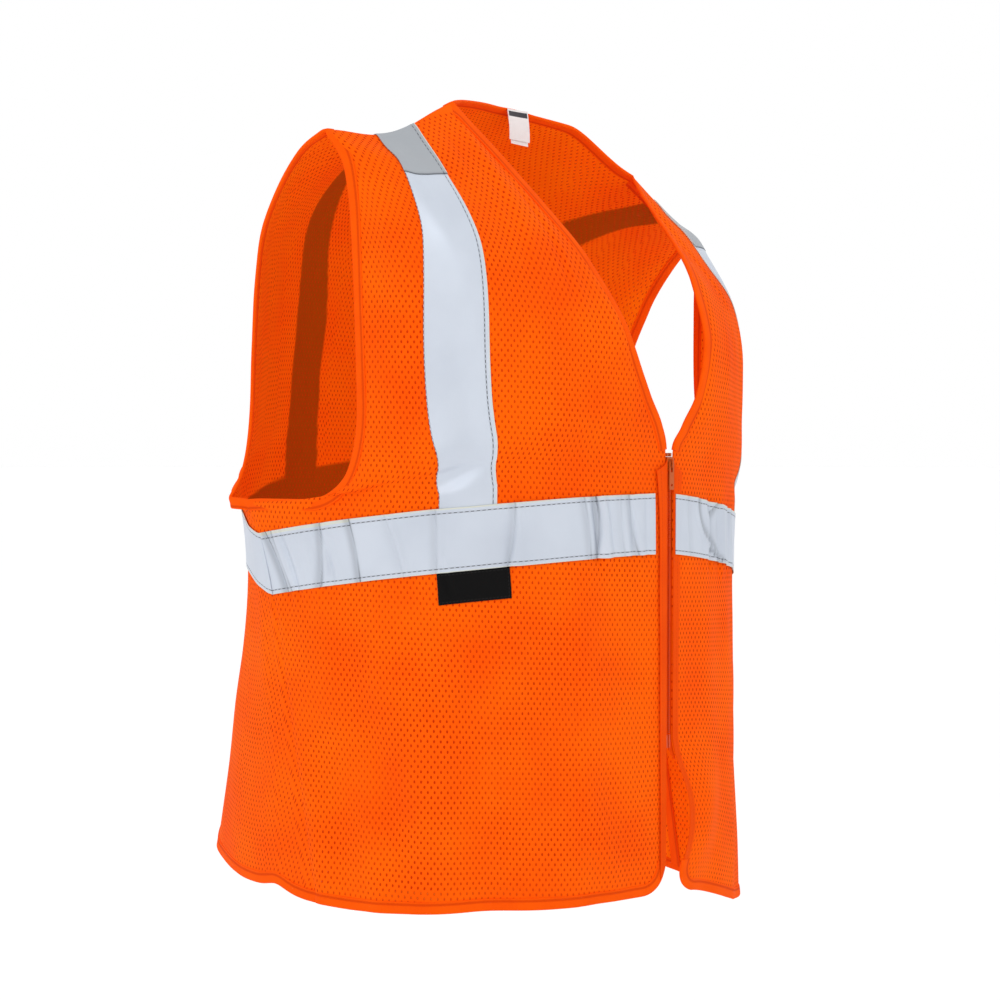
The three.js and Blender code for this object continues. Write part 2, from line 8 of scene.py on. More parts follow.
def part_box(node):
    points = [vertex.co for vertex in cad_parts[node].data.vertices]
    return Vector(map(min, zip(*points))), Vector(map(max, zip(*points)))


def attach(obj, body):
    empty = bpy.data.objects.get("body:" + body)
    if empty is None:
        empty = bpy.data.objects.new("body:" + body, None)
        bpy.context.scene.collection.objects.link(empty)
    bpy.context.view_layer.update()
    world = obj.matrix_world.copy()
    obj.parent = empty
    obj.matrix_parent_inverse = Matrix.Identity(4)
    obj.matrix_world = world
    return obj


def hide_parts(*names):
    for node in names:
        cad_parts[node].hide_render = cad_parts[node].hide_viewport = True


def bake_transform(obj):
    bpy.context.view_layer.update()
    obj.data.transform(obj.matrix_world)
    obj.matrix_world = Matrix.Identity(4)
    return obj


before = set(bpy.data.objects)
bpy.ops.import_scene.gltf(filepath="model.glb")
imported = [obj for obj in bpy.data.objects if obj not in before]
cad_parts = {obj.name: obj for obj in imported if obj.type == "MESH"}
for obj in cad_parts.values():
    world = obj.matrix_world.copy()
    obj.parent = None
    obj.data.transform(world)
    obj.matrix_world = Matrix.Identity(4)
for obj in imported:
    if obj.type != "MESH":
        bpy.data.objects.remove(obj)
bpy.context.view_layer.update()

# ---------------------------------------------------------------------------
# Camera: level with the waist, on the wearer's front right, with a short telephoto lens.
VEST_MIDDLE = Vector((0, 0.075, -0.348))
CAMERA_AZIMUTH = math.radians(-45)
CAMERA_ELEVATION = math.radians(2)
CAMERA_DISTANCE = 1.8

camera = bpy.data.cameras.new("camera")
camera.lens = 70
camera.shift_x = 0.023
camera.shift_y = 0.007
camera_object = bpy.data.objects.new("camera", camera)
away = Vector((math.sin(CAMERA_AZIMUTH) * math.cos(CAMERA_ELEVATION),
               -math.cos(CAMERA_AZIMUTH) * math.cos(CAMERA_ELEVATION),
               math.sin(CAMERA_ELEVATION)))
camera_object.location = VEST_MIDDLE + CAMERA_DISTANCE * away
camera_object.rotation_euler = (-away).to_track_quat("-Z", "Y").to_euler()
bpy.context.scene.collection.objects.link(camera_object)
bpy.context.scene.camera = camera_object
bpy.context.scene.view_settings.view_transform = "Standard"


# ---------------------------------------------------------------------------
# Studio: a pale floor far below the hanging vest, a bright even surround and two soft boxes.
# Materials are written as arithmetic on sockets from here on.
class Socket:
    """A shader value that takes part in ordinary arithmetic."""

    def __init__(self, tree, output):
        self.tree, self.output = tree, output

    def math(self, operation, *values):
        return self.tree.make("ShaderNodeMath", {"operation": operation}, [self, *values])

    def __add__(self, other):
        return self.math("ADD", other)

    def __radd__(self, other):
        return self.math("ADD", other)

    def __sub__(self, other):
        return self.math("SUBTRACT", other)

    def __rsub__(self, other):
        return (self * -1).math("ADD", other)

    def __mul__(self, other):
        return self.math("MULTIPLY", other)

    def __rmul__(self, other):
        return self.math("MULTIPLY", other)

    def __truediv__(self, other):
        return self.math("DIVIDE", other)

    def __lt__(self, other):
        return self.math("LESS_THAN", other)

    def __gt__(self, other):
        return self.math("GREATER_THAN", other)

    def least(self, other):
        return self.math("MINIMUM", other)

    def frac(self):
        return self.math("FRACT")

    def size(self):
        return self.math("ABSOLUTE")

    def root(self):
        return self.math("SQRT")

    def ramp(self, low, high):
        """0 below low, 1 above high and straight in between."""
        return self.tree.make("ShaderNodeMapRange", {"clamp": True}, [self, low, high, 0, 1])


class Finish:
    """A material whose nodes are made by one method, round a Principled shader."""

    def __init__(self, name, **constants):
        self.material = bpy.data.materials.new(name)
        self.material.use_nodes = True
        self.nodes = self.material.node_tree.nodes
        self.links = self.material.node_tree.links
        self.shader = self.nodes["Principled BSDF"]
        for socket, value in constants.items():
            self.shader.inputs[socket.replace("_", " ")].default_value = value

    def make(self, kind, settings=(), values=(), output=0):
        node = self.nodes.new(kind)
        for key, value in dict(settings).items():
            setattr(node, key, value)
        for slot, value in (values.items() if isinstance(values, dict) else enumerate(values)):
            if isinstance(value, Socket):
                self.links.new(value.output, node.inputs[slot])
            elif value is not None:
                node.inputs[slot].default_value = value
        return Socket(self, node.outputs[output])

    def cloth_place(self):
        """Metres across and along the piece's own cloth."""
        flat = self.make("ShaderNodeUVMap", {"uv_map": "cloth"})
        split = self.make("ShaderNodeSeparateXYZ", values=[flat]).output.node
        return Socket(self, split.outputs[0]), Socket(self, split.outputs[1])

    def mark(self, name):
        """The number that set_mark has put on the piece's points."""
        return self.make("ShaderNodeAttribute", {"attribute_name": name}, output=2)

    def speckle(self, scale, detail=2.0):
        """Random unevenness, scale grains to the metre."""
        place = self.make("ShaderNodeTexCoord", output=3)
        return self.make("ShaderNodeTexNoise", values={0: place, "Scale": scale, "Detail": detail})

    def mix(self, factor, one, other):
        values = {0: factor, 6: one, 7: other}
        return self.make("ShaderNodeMix", {"data_type": "RGBA"}, values, output=2)

    def set(self, socket, value):
        self.links.new(value.output, self.shader.inputs[socket])

    def open_through(self, share, tint):
        """Lets light through a share of the surface, in the colour that the threads give it."""
        clear = self.make("ShaderNodeBsdfTransparent", values={"Color": tint})
        both = self.make("ShaderNodeMixShader", values={0: share, 2: clear})
        self.links.new(self.shader.outputs[0], both.output.node.inputs[1])
        self.links.new(both.output, self.nodes["Material Output"].inputs["Surface"])

    def bump(self, height, distance, strength=1.0):
        values = {"Height": height, "Distance": distance, "Strength": strength}
        self.set("Normal", self.make("ShaderNodeBump", values=values))


def colour(red, green, blue):
    """A display colour, 0 to 255, as the shader wants it."""
    shares = [value / 255 for value in (red, green, blue)]
    linear = [v / 12.92 if v <= 0.04 else ((v + 0.055) / 1.055) ** 2.4 for v in shares]
    return (*linear, 1)


FLOOR_Z = -1.15
floor_finish = Finish("floor", Base_Color=(0.82, 0.82, 0.82, 1), Roughness=0.9,
                      Emission_Color=(1, 1, 1, 1), Emission_Strength=0.22)
bpy.ops.object.select_all(action="DESELECT")
bpy.ops.mesh.primitive_circle_add(vertices=96, radius=60, fill_type="NGON", location=(0, 0, FLOOR_Z))
floor = bpy.context.object
floor.name = "floor"
floor.data.materials.append(floor_finish.material)

# The surround is white behind and above, and dimmer low down in front, so that folds show.
BRIGHT_WAY = (0.30, 0.62, 0.73)
DIMMING = {"From Min": -0.80, "From Max": 0.30, "To Min": 0.30, "To Max": 1.0}

world = bpy.data.worlds.new("surround")
world.use_nodes = True
sky = world.node_tree
direction = sky.nodes.new("ShaderNodeTexCoord")
height = sky.nodes.new("ShaderNodeVectorMath")
height.operation = "DOT_PRODUCT"
height.inputs[1].default_value = Vector(BRIGHT_WAY).normalized()
sky.links.new(direction.outputs["Generated"], height.inputs[0])
dimming = sky.nodes.new("ShaderNodeMapRange")
for socket, value in DIMMING.items():
    dimming.inputs[socket].default_value = value
sky.links.new(height.outputs["Value"], dimming.inputs["Value"])
sky.links.new(dimming.outputs["Result"], sky.nodes["Background"].inputs["Strength"])
sky.nodes["Background"].inputs["Color"].default_value = (1, 1, 1, 1)
bpy.context.scene.world = world

SOFT_BOXES = [((-2.6, -1.2, 1.5), 20, 1.0), ((0.4, -2.8, 1.2), 9, 1.0)]
for place, power, width in SOFT_BOXES:
    lamp = bpy.data.lights.new("soft_box", "AREA")
    lamp.energy = power
    lamp.size = width
    lamp_object = bpy.data.objects.new("soft_box", lamp)
    lamp_object.location = place
    lamp_object.rotation_euler = (VEST_MIDDLE - Vector(place)).to_track_quat("-Z", "Y").to_euler()
    bpy.context.scene.collection.objects.link(lamp_object)

# ---------------------------------------------------------------------------
# The form: each panel is a stack of rows from its hem to the shoulder, in millimetres.
# A row runs from the centre front and neckline (or the centre back) to the side seam and
# armhole: inner point, outer point, the two handles, the outer one's pull-in, two rises.
MM = 0.001
SHOULDER_Y = -75
NECK_POINT = (118, -87, -8)
SHOULDER_TIP = (238, -64, -49)
FRONT_RISE = (1 / 3, 2 / 3)
BACK_RISE = (0.15, 0.5)
UNDERARM_RISE = (0.4, 1.3)
FRONT_ROWS = np.array([
    (5, -228, -668, 240, -52, -684, 0.52, 0.50, 0, *FRONT_RISE),
    (5, -228, -530, 242, -25, -545, 0.55, 0.55, 0, *FRONT_RISE),
    (5, -228, -400, 243, 0, -425, 0.55, 0.55, 0, *FRONT_RISE),
    (5, -228, -299, 252, 20, -352, 0.56, 0.56, 0, *UNDERARM_RISE),
    (15, -231, -274, 241, -50, -350, 0.47, 0.53, 0.095, *FRONT_RISE),
    (31, -232, -250, 228, -80, -327, 0.46, 0.50, 0.09, *FRONT_RISE),
    (42, -230, -226, 221, -85, -283, 0.44, 0.47, 0.05, *FRONT_RISE),
    (51, -226, -200, 219, -81, -215, 0.45, 0.45, 0.01, *FRONT_RISE),
    (68, -198, -143, 221, -79, -134, 0.50, 0.48, 0, *FRONT_RISE),
    (94, -136, -66, 226, -76, -78, 0.48, 0.45, 0, *FRONT_RISE),
    (*NECK_POINT, *SHOULDER_TIP, 0.33, 0.33, 0, *FRONT_RISE),
], float)
BACK_ROWS = np.array([
    (0, 236, -655, 240, -52, -684, 0.55, 0.72, -0.02, *BACK_RISE),
    (0, 196, -535, 242, -25, -545, 0.55, 0.60, 0, *BACK_RISE),
    (0, 158, -405, 243, 0, -425, 0.55, 0.55, 0.04, *BACK_RISE),
    (0, 150, -320, 252, 20, -352, 0.55, 0.50, 0.10, *UNDERARM_RISE),
    (0, 150, -280, 253, 42, -350, 0.50, 0.40, 0.16, *BACK_RISE),
    (0, 150, -255, 245, 36, -328, 0.50, 0.38, 0.20, *BACK_RISE),
    (0, 150, -230, 241, 29, -283, 0.50, 0.38, 0.20, *BACK_RISE),
    (0, 142, -190, 241, 24, -200, 0.50, 0.38, 0.20, *BACK_RISE),
    (0, 118, -115, 248, 2, -124, 0.50, 0.40, 0.20, *BACK_RISE),
    (0, 50, -36, 246, -41, -66, 0.45, 0.40, 0.14, *BACK_RISE),
    (0, -48, 10, *SHOULDER_TIP, 0.40, 0.33, 0, *BACK_RISE),
], float)
TOP_ROW = len(FRONT_ROWS) - 1
UNDERARM_ROW = 3
NECK_SHARE = 0.46


def ease(x, low, high):
    f = np.clip((x - low) / (high - low), 0, 1)
    return f * f * (3 - 2 * f)


def row_at(rows, t):
    """The row at any height t, by a monotone cubic, so that straight stretches stay straight."""
    slope = np.diff(rows, axis=0)
    below, above = slope[:-1], slope[1:]
    both = np.where(below * above > 0, below + above, 1)
    inner = np.where(below * above > 0, 2 * below * above / both, 0)
    tangent = np.vstack([slope[:1], inner, slope[-1:]])
    i = np.clip(np.floor(t).astype(int), 0, TOP_ROW - 1)
    f = (t - i)[..., None]
    return ((2 * f**3 - 3 * f**2 + 1) * rows[i] + (f**3 - 2 * f**2 + f) * tangent[i]
            + (3 * f**2 - 2 * f**3) * rows[i + 1] + (f**3 - f**2) * tangent[i + 1])


def point_on_row(row, u):
    """A row's point at u, from 0 at its inner end to 1 at its outer one."""
    inner, outer = row[..., 0:3], row[..., 3:6]
    reach, lean, pull, rise_a, rise_b = (row[..., k] for k in range(6, 11))
    climb = outer[..., 2] - inner[..., 2]
    handle_a = np.stack([inner[..., 0] + reach * (outer[..., 0] - inner[..., 0]), inner[..., 1],
                         inner[..., 2] + climb * rise_a], -1)
    handle_b = np.stack([outer[..., 0] * (1 - pull), outer[..., 1] + lean * (inner[..., 1] - outer[..., 1]),
                         inner[..., 2] + climb * rise_b], -1)
    u = u[..., None]
    return ((1 - u) ** 3 * inner + 3 * u * (1 - u) ** 2 * handle_a
            + 3 * u**2 * (1 - u) * handle_b + u**3 * outer)


# How far the wearer's left side hangs lower, in millimetres, and as a share of x all over.
LEFT_SHOULDER_DROP = 26
LEFT_HEM_DROP = 22
LEFT_LEAN = 0.06
RIGHT_SHOULDER_SAG = 14
LEFT_SHOULDER_SAG = 3


def settled(p):
    """Lets the left side hang lower and the shoulders sag, and moves to the part's own frame."""
    x, y, z = p[..., 0], p[..., 1], p[..., 2]
    shoulder_drop = LEFT_SHOULDER_DROP * ease(x, 60, 122) * ease(z, -260, -20)
    hem_drop = LEFT_HEM_DROP * ease(x, 20, 160) * ease(-z, 400, 660)
    span = np.clip((np.abs(x) - NECK_POINT[0]) / (SHOULDER_TIP[0] - NECK_POINT[0]), 0, 1)
    sag = np.where(x < 0, RIGHT_SHOULDER_SAG, LEFT_SHOULDER_SAG) * np.sin(np.pi * span) ** 1.5
    sag = sag * ease(z, -170, -30)
    return np.stack([x, y - SHOULDER_Y, z - LEFT_LEAN * x - shoulder_drop - hem_drop - sag], -1)


def front_form(sign):
    """The front on one side of the vest: -1 for the wearer's right, 1 for the left."""
    def form(u, t):
        return point_on_row(row_at(FRONT_ROWS, t), u) * np.array([sign, 1, 1])
    return form


def back_form(u, t):
    """The back, from u = -1 at the right side seam to 1 at the left one."""
    a = np.abs(u)
    p = point_on_row(row_at(BACK_ROWS, t), a)
    plain = point_on_row(np.broadcast_to(BACK_ROWS[TOP_ROW], (*a.shape, 11)), a)
    neck, tip = np.array(NECK_POINT, float), np.array(SHOULDER_TIP, float)
    back_neck = BACK_ROWS[TOP_ROW, :3]
    f = (a / NECK_SHARE)[..., None]
    arc = np.concatenate([neck[0] * f, back_neck[1] + (neck[1] - back_neck[1]) * f**2,
                          back_neck[2] + (neck[2] - back_neck[2]) * f**2.4], -1)
    seam = neck + (tip - neck) * ((a - NECK_SHARE) / (1 - NECK_SHARE))[..., None]
    p = p + ease(t, TOP_ROW - 1.7, TOP_ROW)[..., None] * (np.where(f < 1, arc, seam) - plain)
    return p * np.stack([np.sign(u), np.ones_like(u), np.ones_like(u)], -1)


# A front's knit runs straight down from the shoulder at this distance from its middle, and
# the back's is level at this height.
GRAIN_X = 150
WAIST_Z = -400
# Rows run along the armhole's edge, so normals are taken short of it, and further in
# between these rows at the underarm, where they are also made level.
EDGE_NORMAL_SHARE = 0.965
UNDERARM_NORMAL_SHARE = 0.80
UNDERARM_LEVEL_SHARE = 0.92
UNDERARM_FROM = (2.4, 3.0)
UNDERARM_TO = (4.4, 5.0)


class Cloth:
    """A panel's cloth as a close grid of points, with its own flat measure and normals.
    Whatever is sewn to the panel is placed on this grid, so it follows every fold."""

    def __init__(self, form, us, outward, folds, hem_row):
        self.us = us
        middle = np.linspace(0, TOP_ROW, 801)
        spine = settled(form(np.full(801, 0.5), middle))
        length = np.concatenate([[0], np.cumsum(np.linalg.norm(np.diff(spine, axis=0), axis=1))])
        self.ts = np.interp(np.linspace(0, length[-1], 241), length, middle)
        self.u, self.t = np.meshgrid(self.us, self.ts, indexing="ij")
        hem = hem_row(self.us)[:, None]
        self.raised = hem + self.t * (1 - hem / TOP_ROW)
        even = form(self.u, self.raised)
        self.reach = np.abs(even[..., 0])
        self.height = even[..., 2]
        self.points = settled(even) * MM
        self.across, self.along = self.measure()
        self.cut_area = self.area()
        self.normals = self.grid_normals(outward)
        self.points = self.points + self.normals * (folds(self) * MM)[..., None]
        self.normals = self.grid_normals(outward)

    def measure(self):
        """Metres across the cloth and up it. The back counts from its middle and its waist, and
        a front from its own straight grain line."""
        step = np.linalg.norm(np.diff(self.points, axis=0), axis=2)
        across = np.vstack([np.zeros((1, step.shape[1])), np.cumsum(step, axis=0)])
        if self.us[0] < 0:
            rise = np.linalg.norm(np.diff(self.points, axis=1), axis=2)
            along = np.hstack([np.zeros((rise.shape[0], 1)), np.cumsum(rise, axis=1)])
            waist = np.abs(self.height - WAIST_Z).argmin(axis=1)
            return across - across[len(self.us) // 2], along - along[np.arange(len(waist)), waist][:, None]
        rows = np.arange(len(self.ts))
        grain = np.abs(self.reach - GRAIN_X).argmin(axis=0)
        past = (GRAIN_X - self.reach[grain, rows]) * MM
        line = self.points[grain, rows]
        rise = np.concatenate([[0], np.cumsum(np.hypot(np.diff(line[:, 1]), np.diff(line[:, 2])))])
        along = np.interp(self.height, self.height[grain, rows], rise)
        return across - across[grain, rows] - past, along

    def area(self):
        """Square metres of cloth, before any fold is put in."""
        p = self.points
        diagonal_a, diagonal_b = p[1:, 1:] - p[:-1, :-1], p[:-1, 1:] - p[1:, :-1]
        return float(np.linalg.norm(np.cross(diagonal_a, diagonal_b), axis=2).sum() / 2)

    def grid_normals(self, outward):
        """Smooth outward normals. outward is the sign that turns u x t out of the vest."""
        p = self.points
        diagonal_a, diagonal_b = p[1:, 1:] - p[:-1, :-1], p[:-1, 1:] - p[1:, :-1]
        quads = np.cross(diagonal_a, diagonal_b) * outward
        total = np.zeros_like(p)
        for i, j in ((0, 0), (0, 1), (1, 0), (1, 1)):
            total[i:i + quads.shape[0], j:j + quads.shape[1]] += quads
        for _ in range(3):
            padded = np.pad(total, ((1, 1), (1, 1), (0, 0)), mode="edge")
            beside = padded[:-2, 1:-1] + padded[2:, 1:-1]
            total = (beside + padded[1:-1, :-2] + padded[1:-1, 2:] + 2 * total) / 6
        by_underarm = ease(self.ts, *UNDERARM_FROM) * (1 - ease(self.ts, *UNDERARM_TO))
        share = EDGE_NORMAL_SHARE + (UNDERARM_NORMAL_SHARE - EDGE_NORMAL_SHARE) * by_underarm
        short = np.searchsorted(self.us, np.clip(self.us[:, None], -share, share))
        total = np.take_along_axis(total, np.clip(short, 0, len(self.us) - 1)[..., None], axis=0)
        total /= np.linalg.norm(total, axis=2, keepdims=True)
        total[..., 2] *= 1 - ease(np.abs(self.u), UNDERARM_NORMAL_SHARE, UNDERARM_LEVEL_SHARE) * by_underarm
        return total / np.linalg.norm(total, axis=2, keepdims=True)

    def sample(self, grid, u, t):
        """A grid's value at any u and t, where t counts the rows from this column's own hem."""
        i = np.clip(np.searchsorted(self.us, u, side="right") - 1, 0, len(self.us) - 2)
        j = np.clip(np.searchsorted(self.ts, t, side="right") - 1, 0, len(self.ts) - 2)
        f = ((u - self.us[i]) / (self.us[i + 1] - self.us[i]))[..., None]
        g = ((t - self.ts[j]) / (self.ts[j + 1] - self.ts[j]))[..., None]
        return ((1 - f) * (1 - g) * grid[i, j] + f * (1 - g) * grid[i + 1, j]
                + (1 - f) * g * grid[i, j + 1] + f * g * grid[i + 1, j + 1])

    def at(self, u, t, lift=0.0):
        """Points on the cloth, or lifted off it by some millimetres."""
        u, t = np.broadcast_arrays(np.asarray(u, float), np.asarray(t, float))
        raised = self.sample(self.normals, u, t) * np.asarray(lift)[..., None] * MM
        return self.sample(self.points, u, t) + raised

    def row_for(self, u, height):
        """The t at which column u reaches a height of the even form, in millimetres."""
        u, height = np.broadcast_arrays(np.asarray(u, float), np.asarray(height, float))
        low, high = np.zeros(u.shape), np.full(u.shape, float(TOP_ROW))
        for _ in range(30):
            middle = (low + high) / 2
            under = self.sample(self.height[..., None], u, middle)[..., 0] < height
            low, high = np.where(under, middle, low), np.where(under, high, middle)
        return (low + high) / 2


# ---------------------------------------------------------------------------
# Knitted mesh: hi-vis orange polyester with staggered oval holes. The back, the two
# fronts and the inside pocket are cut from it.
# Sizes are in metres on the cloth: holes in a row, rows of holes, and half a hole's own size.
HOLE_PITCH = 0.0052
HOLE_ROW = 0.0041
HOLE_HALF = (0.00066, 0.00112)
HOLE_OPEN = 0.62
HOLE_TINT = (1.0, 0.50, 0.14, 1)
ORANGE = colour(250, 97, 0)
ORANGE_DEEP = colour(238, 74, 0)
# Painted shade, seen in the holes.
HOLE_SHADE = colour(206, 50, 0)
# The inside's colour, shifted as painted light for the daylight that comes through the cloth.
INSIDE_LIT = colour(238, 108, 0)
# Painted shade on the inside, where tape behind the knit keeps that daylight out.
INSIDE_TAPE_SHADE = colour(168, 80, 0)

mesh_knit = Finish("orange_mesh_knit", Roughness=0.9, Specular_IOR_Level=0.08)
across, along = mesh_knit.cloth_place()


def hole_distance(shift):
    """0 at the middle of the nearest hole and 1 at its rim, for every other row of holes."""
    dx = ((across / HOLE_PITCH + shift).frac() - 0.5) * (HOLE_PITCH / HOLE_HALF[0])
    dy = ((along / (2 * HOLE_ROW) + shift).frac() - 0.5) * (2 * HOLE_ROW / HOLE_HALF[1])
    return (dx * dx + dy * dy).root()


hole = hole_distance(0.0).least(hole_distance(0.5))
wales = ((across * (2 * math.pi / (HOLE_PITCH / 6))).math("SINE") * 0.5 + 0.5)
courses = ((along * (2 * math.pi / (HOLE_ROW / 4))).math("SINE") * 0.5 + 0.5)
cloud = mesh_knit.speckle(14.0, 3.0).ramp(0.35, 0.7)
rim = hole.ramp(1.0, 1.9)
# Random tone and the knit's texture, with painted shade round the rim of each hole.
shade = (cloud * 0.6 + (1 - wales * courses) * 0.06 + (1 - rim) * 0.45).ramp(0.0, 1.0)
inside_and_tape_shade = mesh_knit.mark("inside_and_tape_shade")
backed = inside_and_tape_shade.ramp(0.55, 0.95)
knit_colour = mesh_knit.mix(shade, ORANGE, ORANGE_DEEP)
# Painted light: the inside gets a yellower orange that stands in for the daylight coming through the cloth.
inside_lit_colour = mesh_knit.mix(shade * 0.8, INSIDE_LIT, ORANGE_DEEP)
knit_colour = mesh_knit.mix(inside_and_tape_shade.ramp(0.0, 0.5), knit_colour, inside_lit_colour)
# Painted shade on the inside where tape sewn behind the knit keeps the daylight from coming through.
knit_colour = mesh_knit.mix(backed, knit_colour, INSIDE_TAPE_SHADE)
stretched = mesh_knit.speckle(22.0, 2.0).ramp(0.30, 0.72)
in_hole = 1 - hole.ramp(0.75, 1.25)
# Painted shade in the holes, where the dark inside of the vest would be seen through them.
knit_colour = mesh_knit.mix(in_hole * (0.45 + stretched * 0.4), knit_colour, HOLE_SHADE)
mesh_knit.set("Base Color", knit_colour)
mesh_knit.open_through(in_hole * (1 - backed) * (0.25 + stretched * 0.75) * HOLE_OPEN, HOLE_TINT)
mesh_knit.bump(rim * 0.6 + wales * courses * 0.12, 0.0004, 0.6)

# Painted light: the knit glows a little, for its bright dye and to lift its shade, and the inside more, for
# the daylight through the cloth.
GLOW = 0.05
INSIDE_GLOW = 0.19
inside_share = inside_and_tape_shade.ramp(0.0, 0.5) * (1 - backed * 0.8)
daylight = inside_share * (1 - GLOW / INSIDE_GLOW) + GLOW / INSIDE_GLOW
mesh_knit.set("Emission Color", mesh_knit.mix(daylight, (0, 0, 0, 1), knit_colour))
mesh_knit.shader.inputs["Emission Strength"].default_value = INSIDE_GLOW

# ---------------------------------------------------------------------------
# Back panel: one piece from the hem to the shoulder seams, with slow upright folds that
# grow towards the hem. It hangs from the shoulder line.
PANEL_FACES = (0.0, 0.9)
SEAM_DEPTH = 1.3
BACK_ROW_LENGTH = 312


def wander(s, z, across, along, seed):
    """Slow random unevenness between -1 and 1, longer one way than the other."""
    flat = np.stack([s / across, z / along, np.full_like(s, seed)], -1).reshape(-1, 3)
    return np.array([noise.noise(Vector(p)) for p in flat]).reshape(s.shape)


def seam_groove(cloth):
    """Cloth turns in a little where it is sewn, below the armhole and along the shoulder."""
    side = ease(np.abs(cloth.u), 0.982, 1.0) * (1 - ease(cloth.raised, UNDERARM_ROW - 0.3, UNDERARM_ROW))
    shoulder = ease(cloth.raised, TOP_ROW - 0.09, TOP_ROW) * ease(np.abs(cloth.u), 0.0, 0.1)
    return -SEAM_DEPTH * np.maximum(side, shoulder)


def back_folds(cloth):
    """Millimetres that the back stands off its even form: long waves and finer ones on them."""
    s = cloth.u * BACK_ROW_LENGTH
    z = cloth.height
    lower = ease(-z, 260, 640)
    folds = wander(s, z, 60, 260, 3.1) * (2.5 + 7 * lower) + wander(s, z, 30, 80, 8.7) * 1.6
    side = 1 - ease(np.abs(cloth.u), 0.93, 1.0)
    shoulders = 1 - ease(cloth.raised, TOP_ROW - 0.6, TOP_ROW)
    return folds * side * shoulders + seam_groove(cloth)


def signed_volume(mesh):
    mesh.calc_loop_triangles()
    corners = np.empty(len(mesh.loop_triangles) * 3, np.int32)
    mesh.loop_triangles.foreach_get("vertices", corners)
    points = np.empty(len(mesh.vertices) * 3, np.float32)
    mesh.vertices.foreach_get("co", points)
    a, b, c = np.moveaxis(points.reshape(-1, 3)[corners.reshape(-1, 3)], 1, 0)
    return float(np.einsum("ij,ij->i", a, np.cross(b, c)).sum())


def finished(name, mesh, sharp_angle):
    """An object made of the mesh, facing outwards, smooth except at its sharp edges."""
    piece = bpy.data.objects.new(name, mesh)
    bpy.context.scene.collection.objects.link(piece)
    if signed_volume(mesh) < 0:
        mesh.flip_normals()
    bpy.ops.object.select_all(action="DESELECT")
    piece.select_set(True)
    bpy.context.view_layer.objects.active = piece
    bpy.ops.object.shade_smooth_by_angle(angle=math.radians(sharp_angle))
    return piece


def closed_sheet(name, top, bottom, place):
    """A thin closed mesh between two grids of points, with metres on the cloth as its UV map."""
    n, m = top.shape[:2]
    index = np.arange(n * m).reshape(n, m)
    a, b, c, d = index[:-1, :-1], index[1:, :-1], index[1:, 1:], index[:-1, 1:]
    upper = np.stack([a, b, c, d], -1).reshape(-1, 4)
    lower = upper[:, ::-1] + n * m
    rim = np.concatenate([index[:, 0], index[-1, 1:], index[-2::-1, -1], index[0, -2:0:-1]])
    ahead = np.roll(rim, -1)
    sides = np.stack([ahead, rim, rim + n * m, ahead + n * m], -1)
    faces = np.concatenate([upper, lower, sides])
    mesh = bpy.data.meshes.new(name)
    mesh.from_pydata(np.concatenate([top.reshape(-1, 3), bottom.reshape(-1, 3)]).tolist(), [], faces.tolist())
    flat = np.concatenate([place.reshape(-1, 2)] * 2)
    layer = mesh.uv_layers.new(name="cloth")
    layer.data.foreach_set("uv", flat[faces.reshape(-1)].astype(np.float32).reshape(-1))
    return finished(name, mesh, 50)


def set_mark(piece, name, top, bottom):
    """A number on every point of a sheet, for its material: on the top grid, then the bottom one."""
    mark = piece.data.attributes.get(name) or piece.data.attributes.new(name, "FLOAT", "POINT")
    values = np.concatenate([np.ravel(top), np.ravel(bottom)]).astype(np.float32)
    mark.data.foreach_set("value", values)


def panel_mesh(name, cloth):
    """The panel's cloth, with the mark that tells its inside from its outside."""
    low, high = PANEL_FACES
    top = cloth.points + cloth.normals * high * MM
    bottom = cloth.points + cloth.normals * low * MM
    piece = closed_sheet(name, top, bottom, np.stack([cloth.across, cloth.along], -1))
    piece.data.materials.append(mesh_knit.material)
    set_mark(piece, "inside_and_tape_shade", np.zeros(cloth.u.shape), np.full(cloth.u.shape, 0.5))
    return piece


HEM_RISE = 0.022
SEAM_DIP = 0.038


def side_hem(us):
    """The hem rises a little towards the side seams, as a share of the first row."""
    a = np.abs(us)
    return HEM_RISE * ease(a, 0.80, 0.90) + SEAM_DIP * np.exp(-((a - 0.92) / 0.03) ** 2)


back_us = np.linspace(-1, 1, 201)
back_cloth = Cloth(back_form, back_us * (1.3 - 0.3 * np.abs(back_us)), -1, back_folds, side_hem)
back_panel = panel_mesh("back_cloth", back_cloth)
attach(back_panel, "back")
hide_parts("back_panel")

# ---------------------------------------------------------------------------
# Front panels: right and left, from the round-cornered hem to the shoulder seam. The folds
# are creases where the tapes buckle, pulls under the tape and from the neck, and soft waves.
HEM_CORNER = 26
ROW_LENGTH = 371
SIDES = {"right": -1, "left": 1}
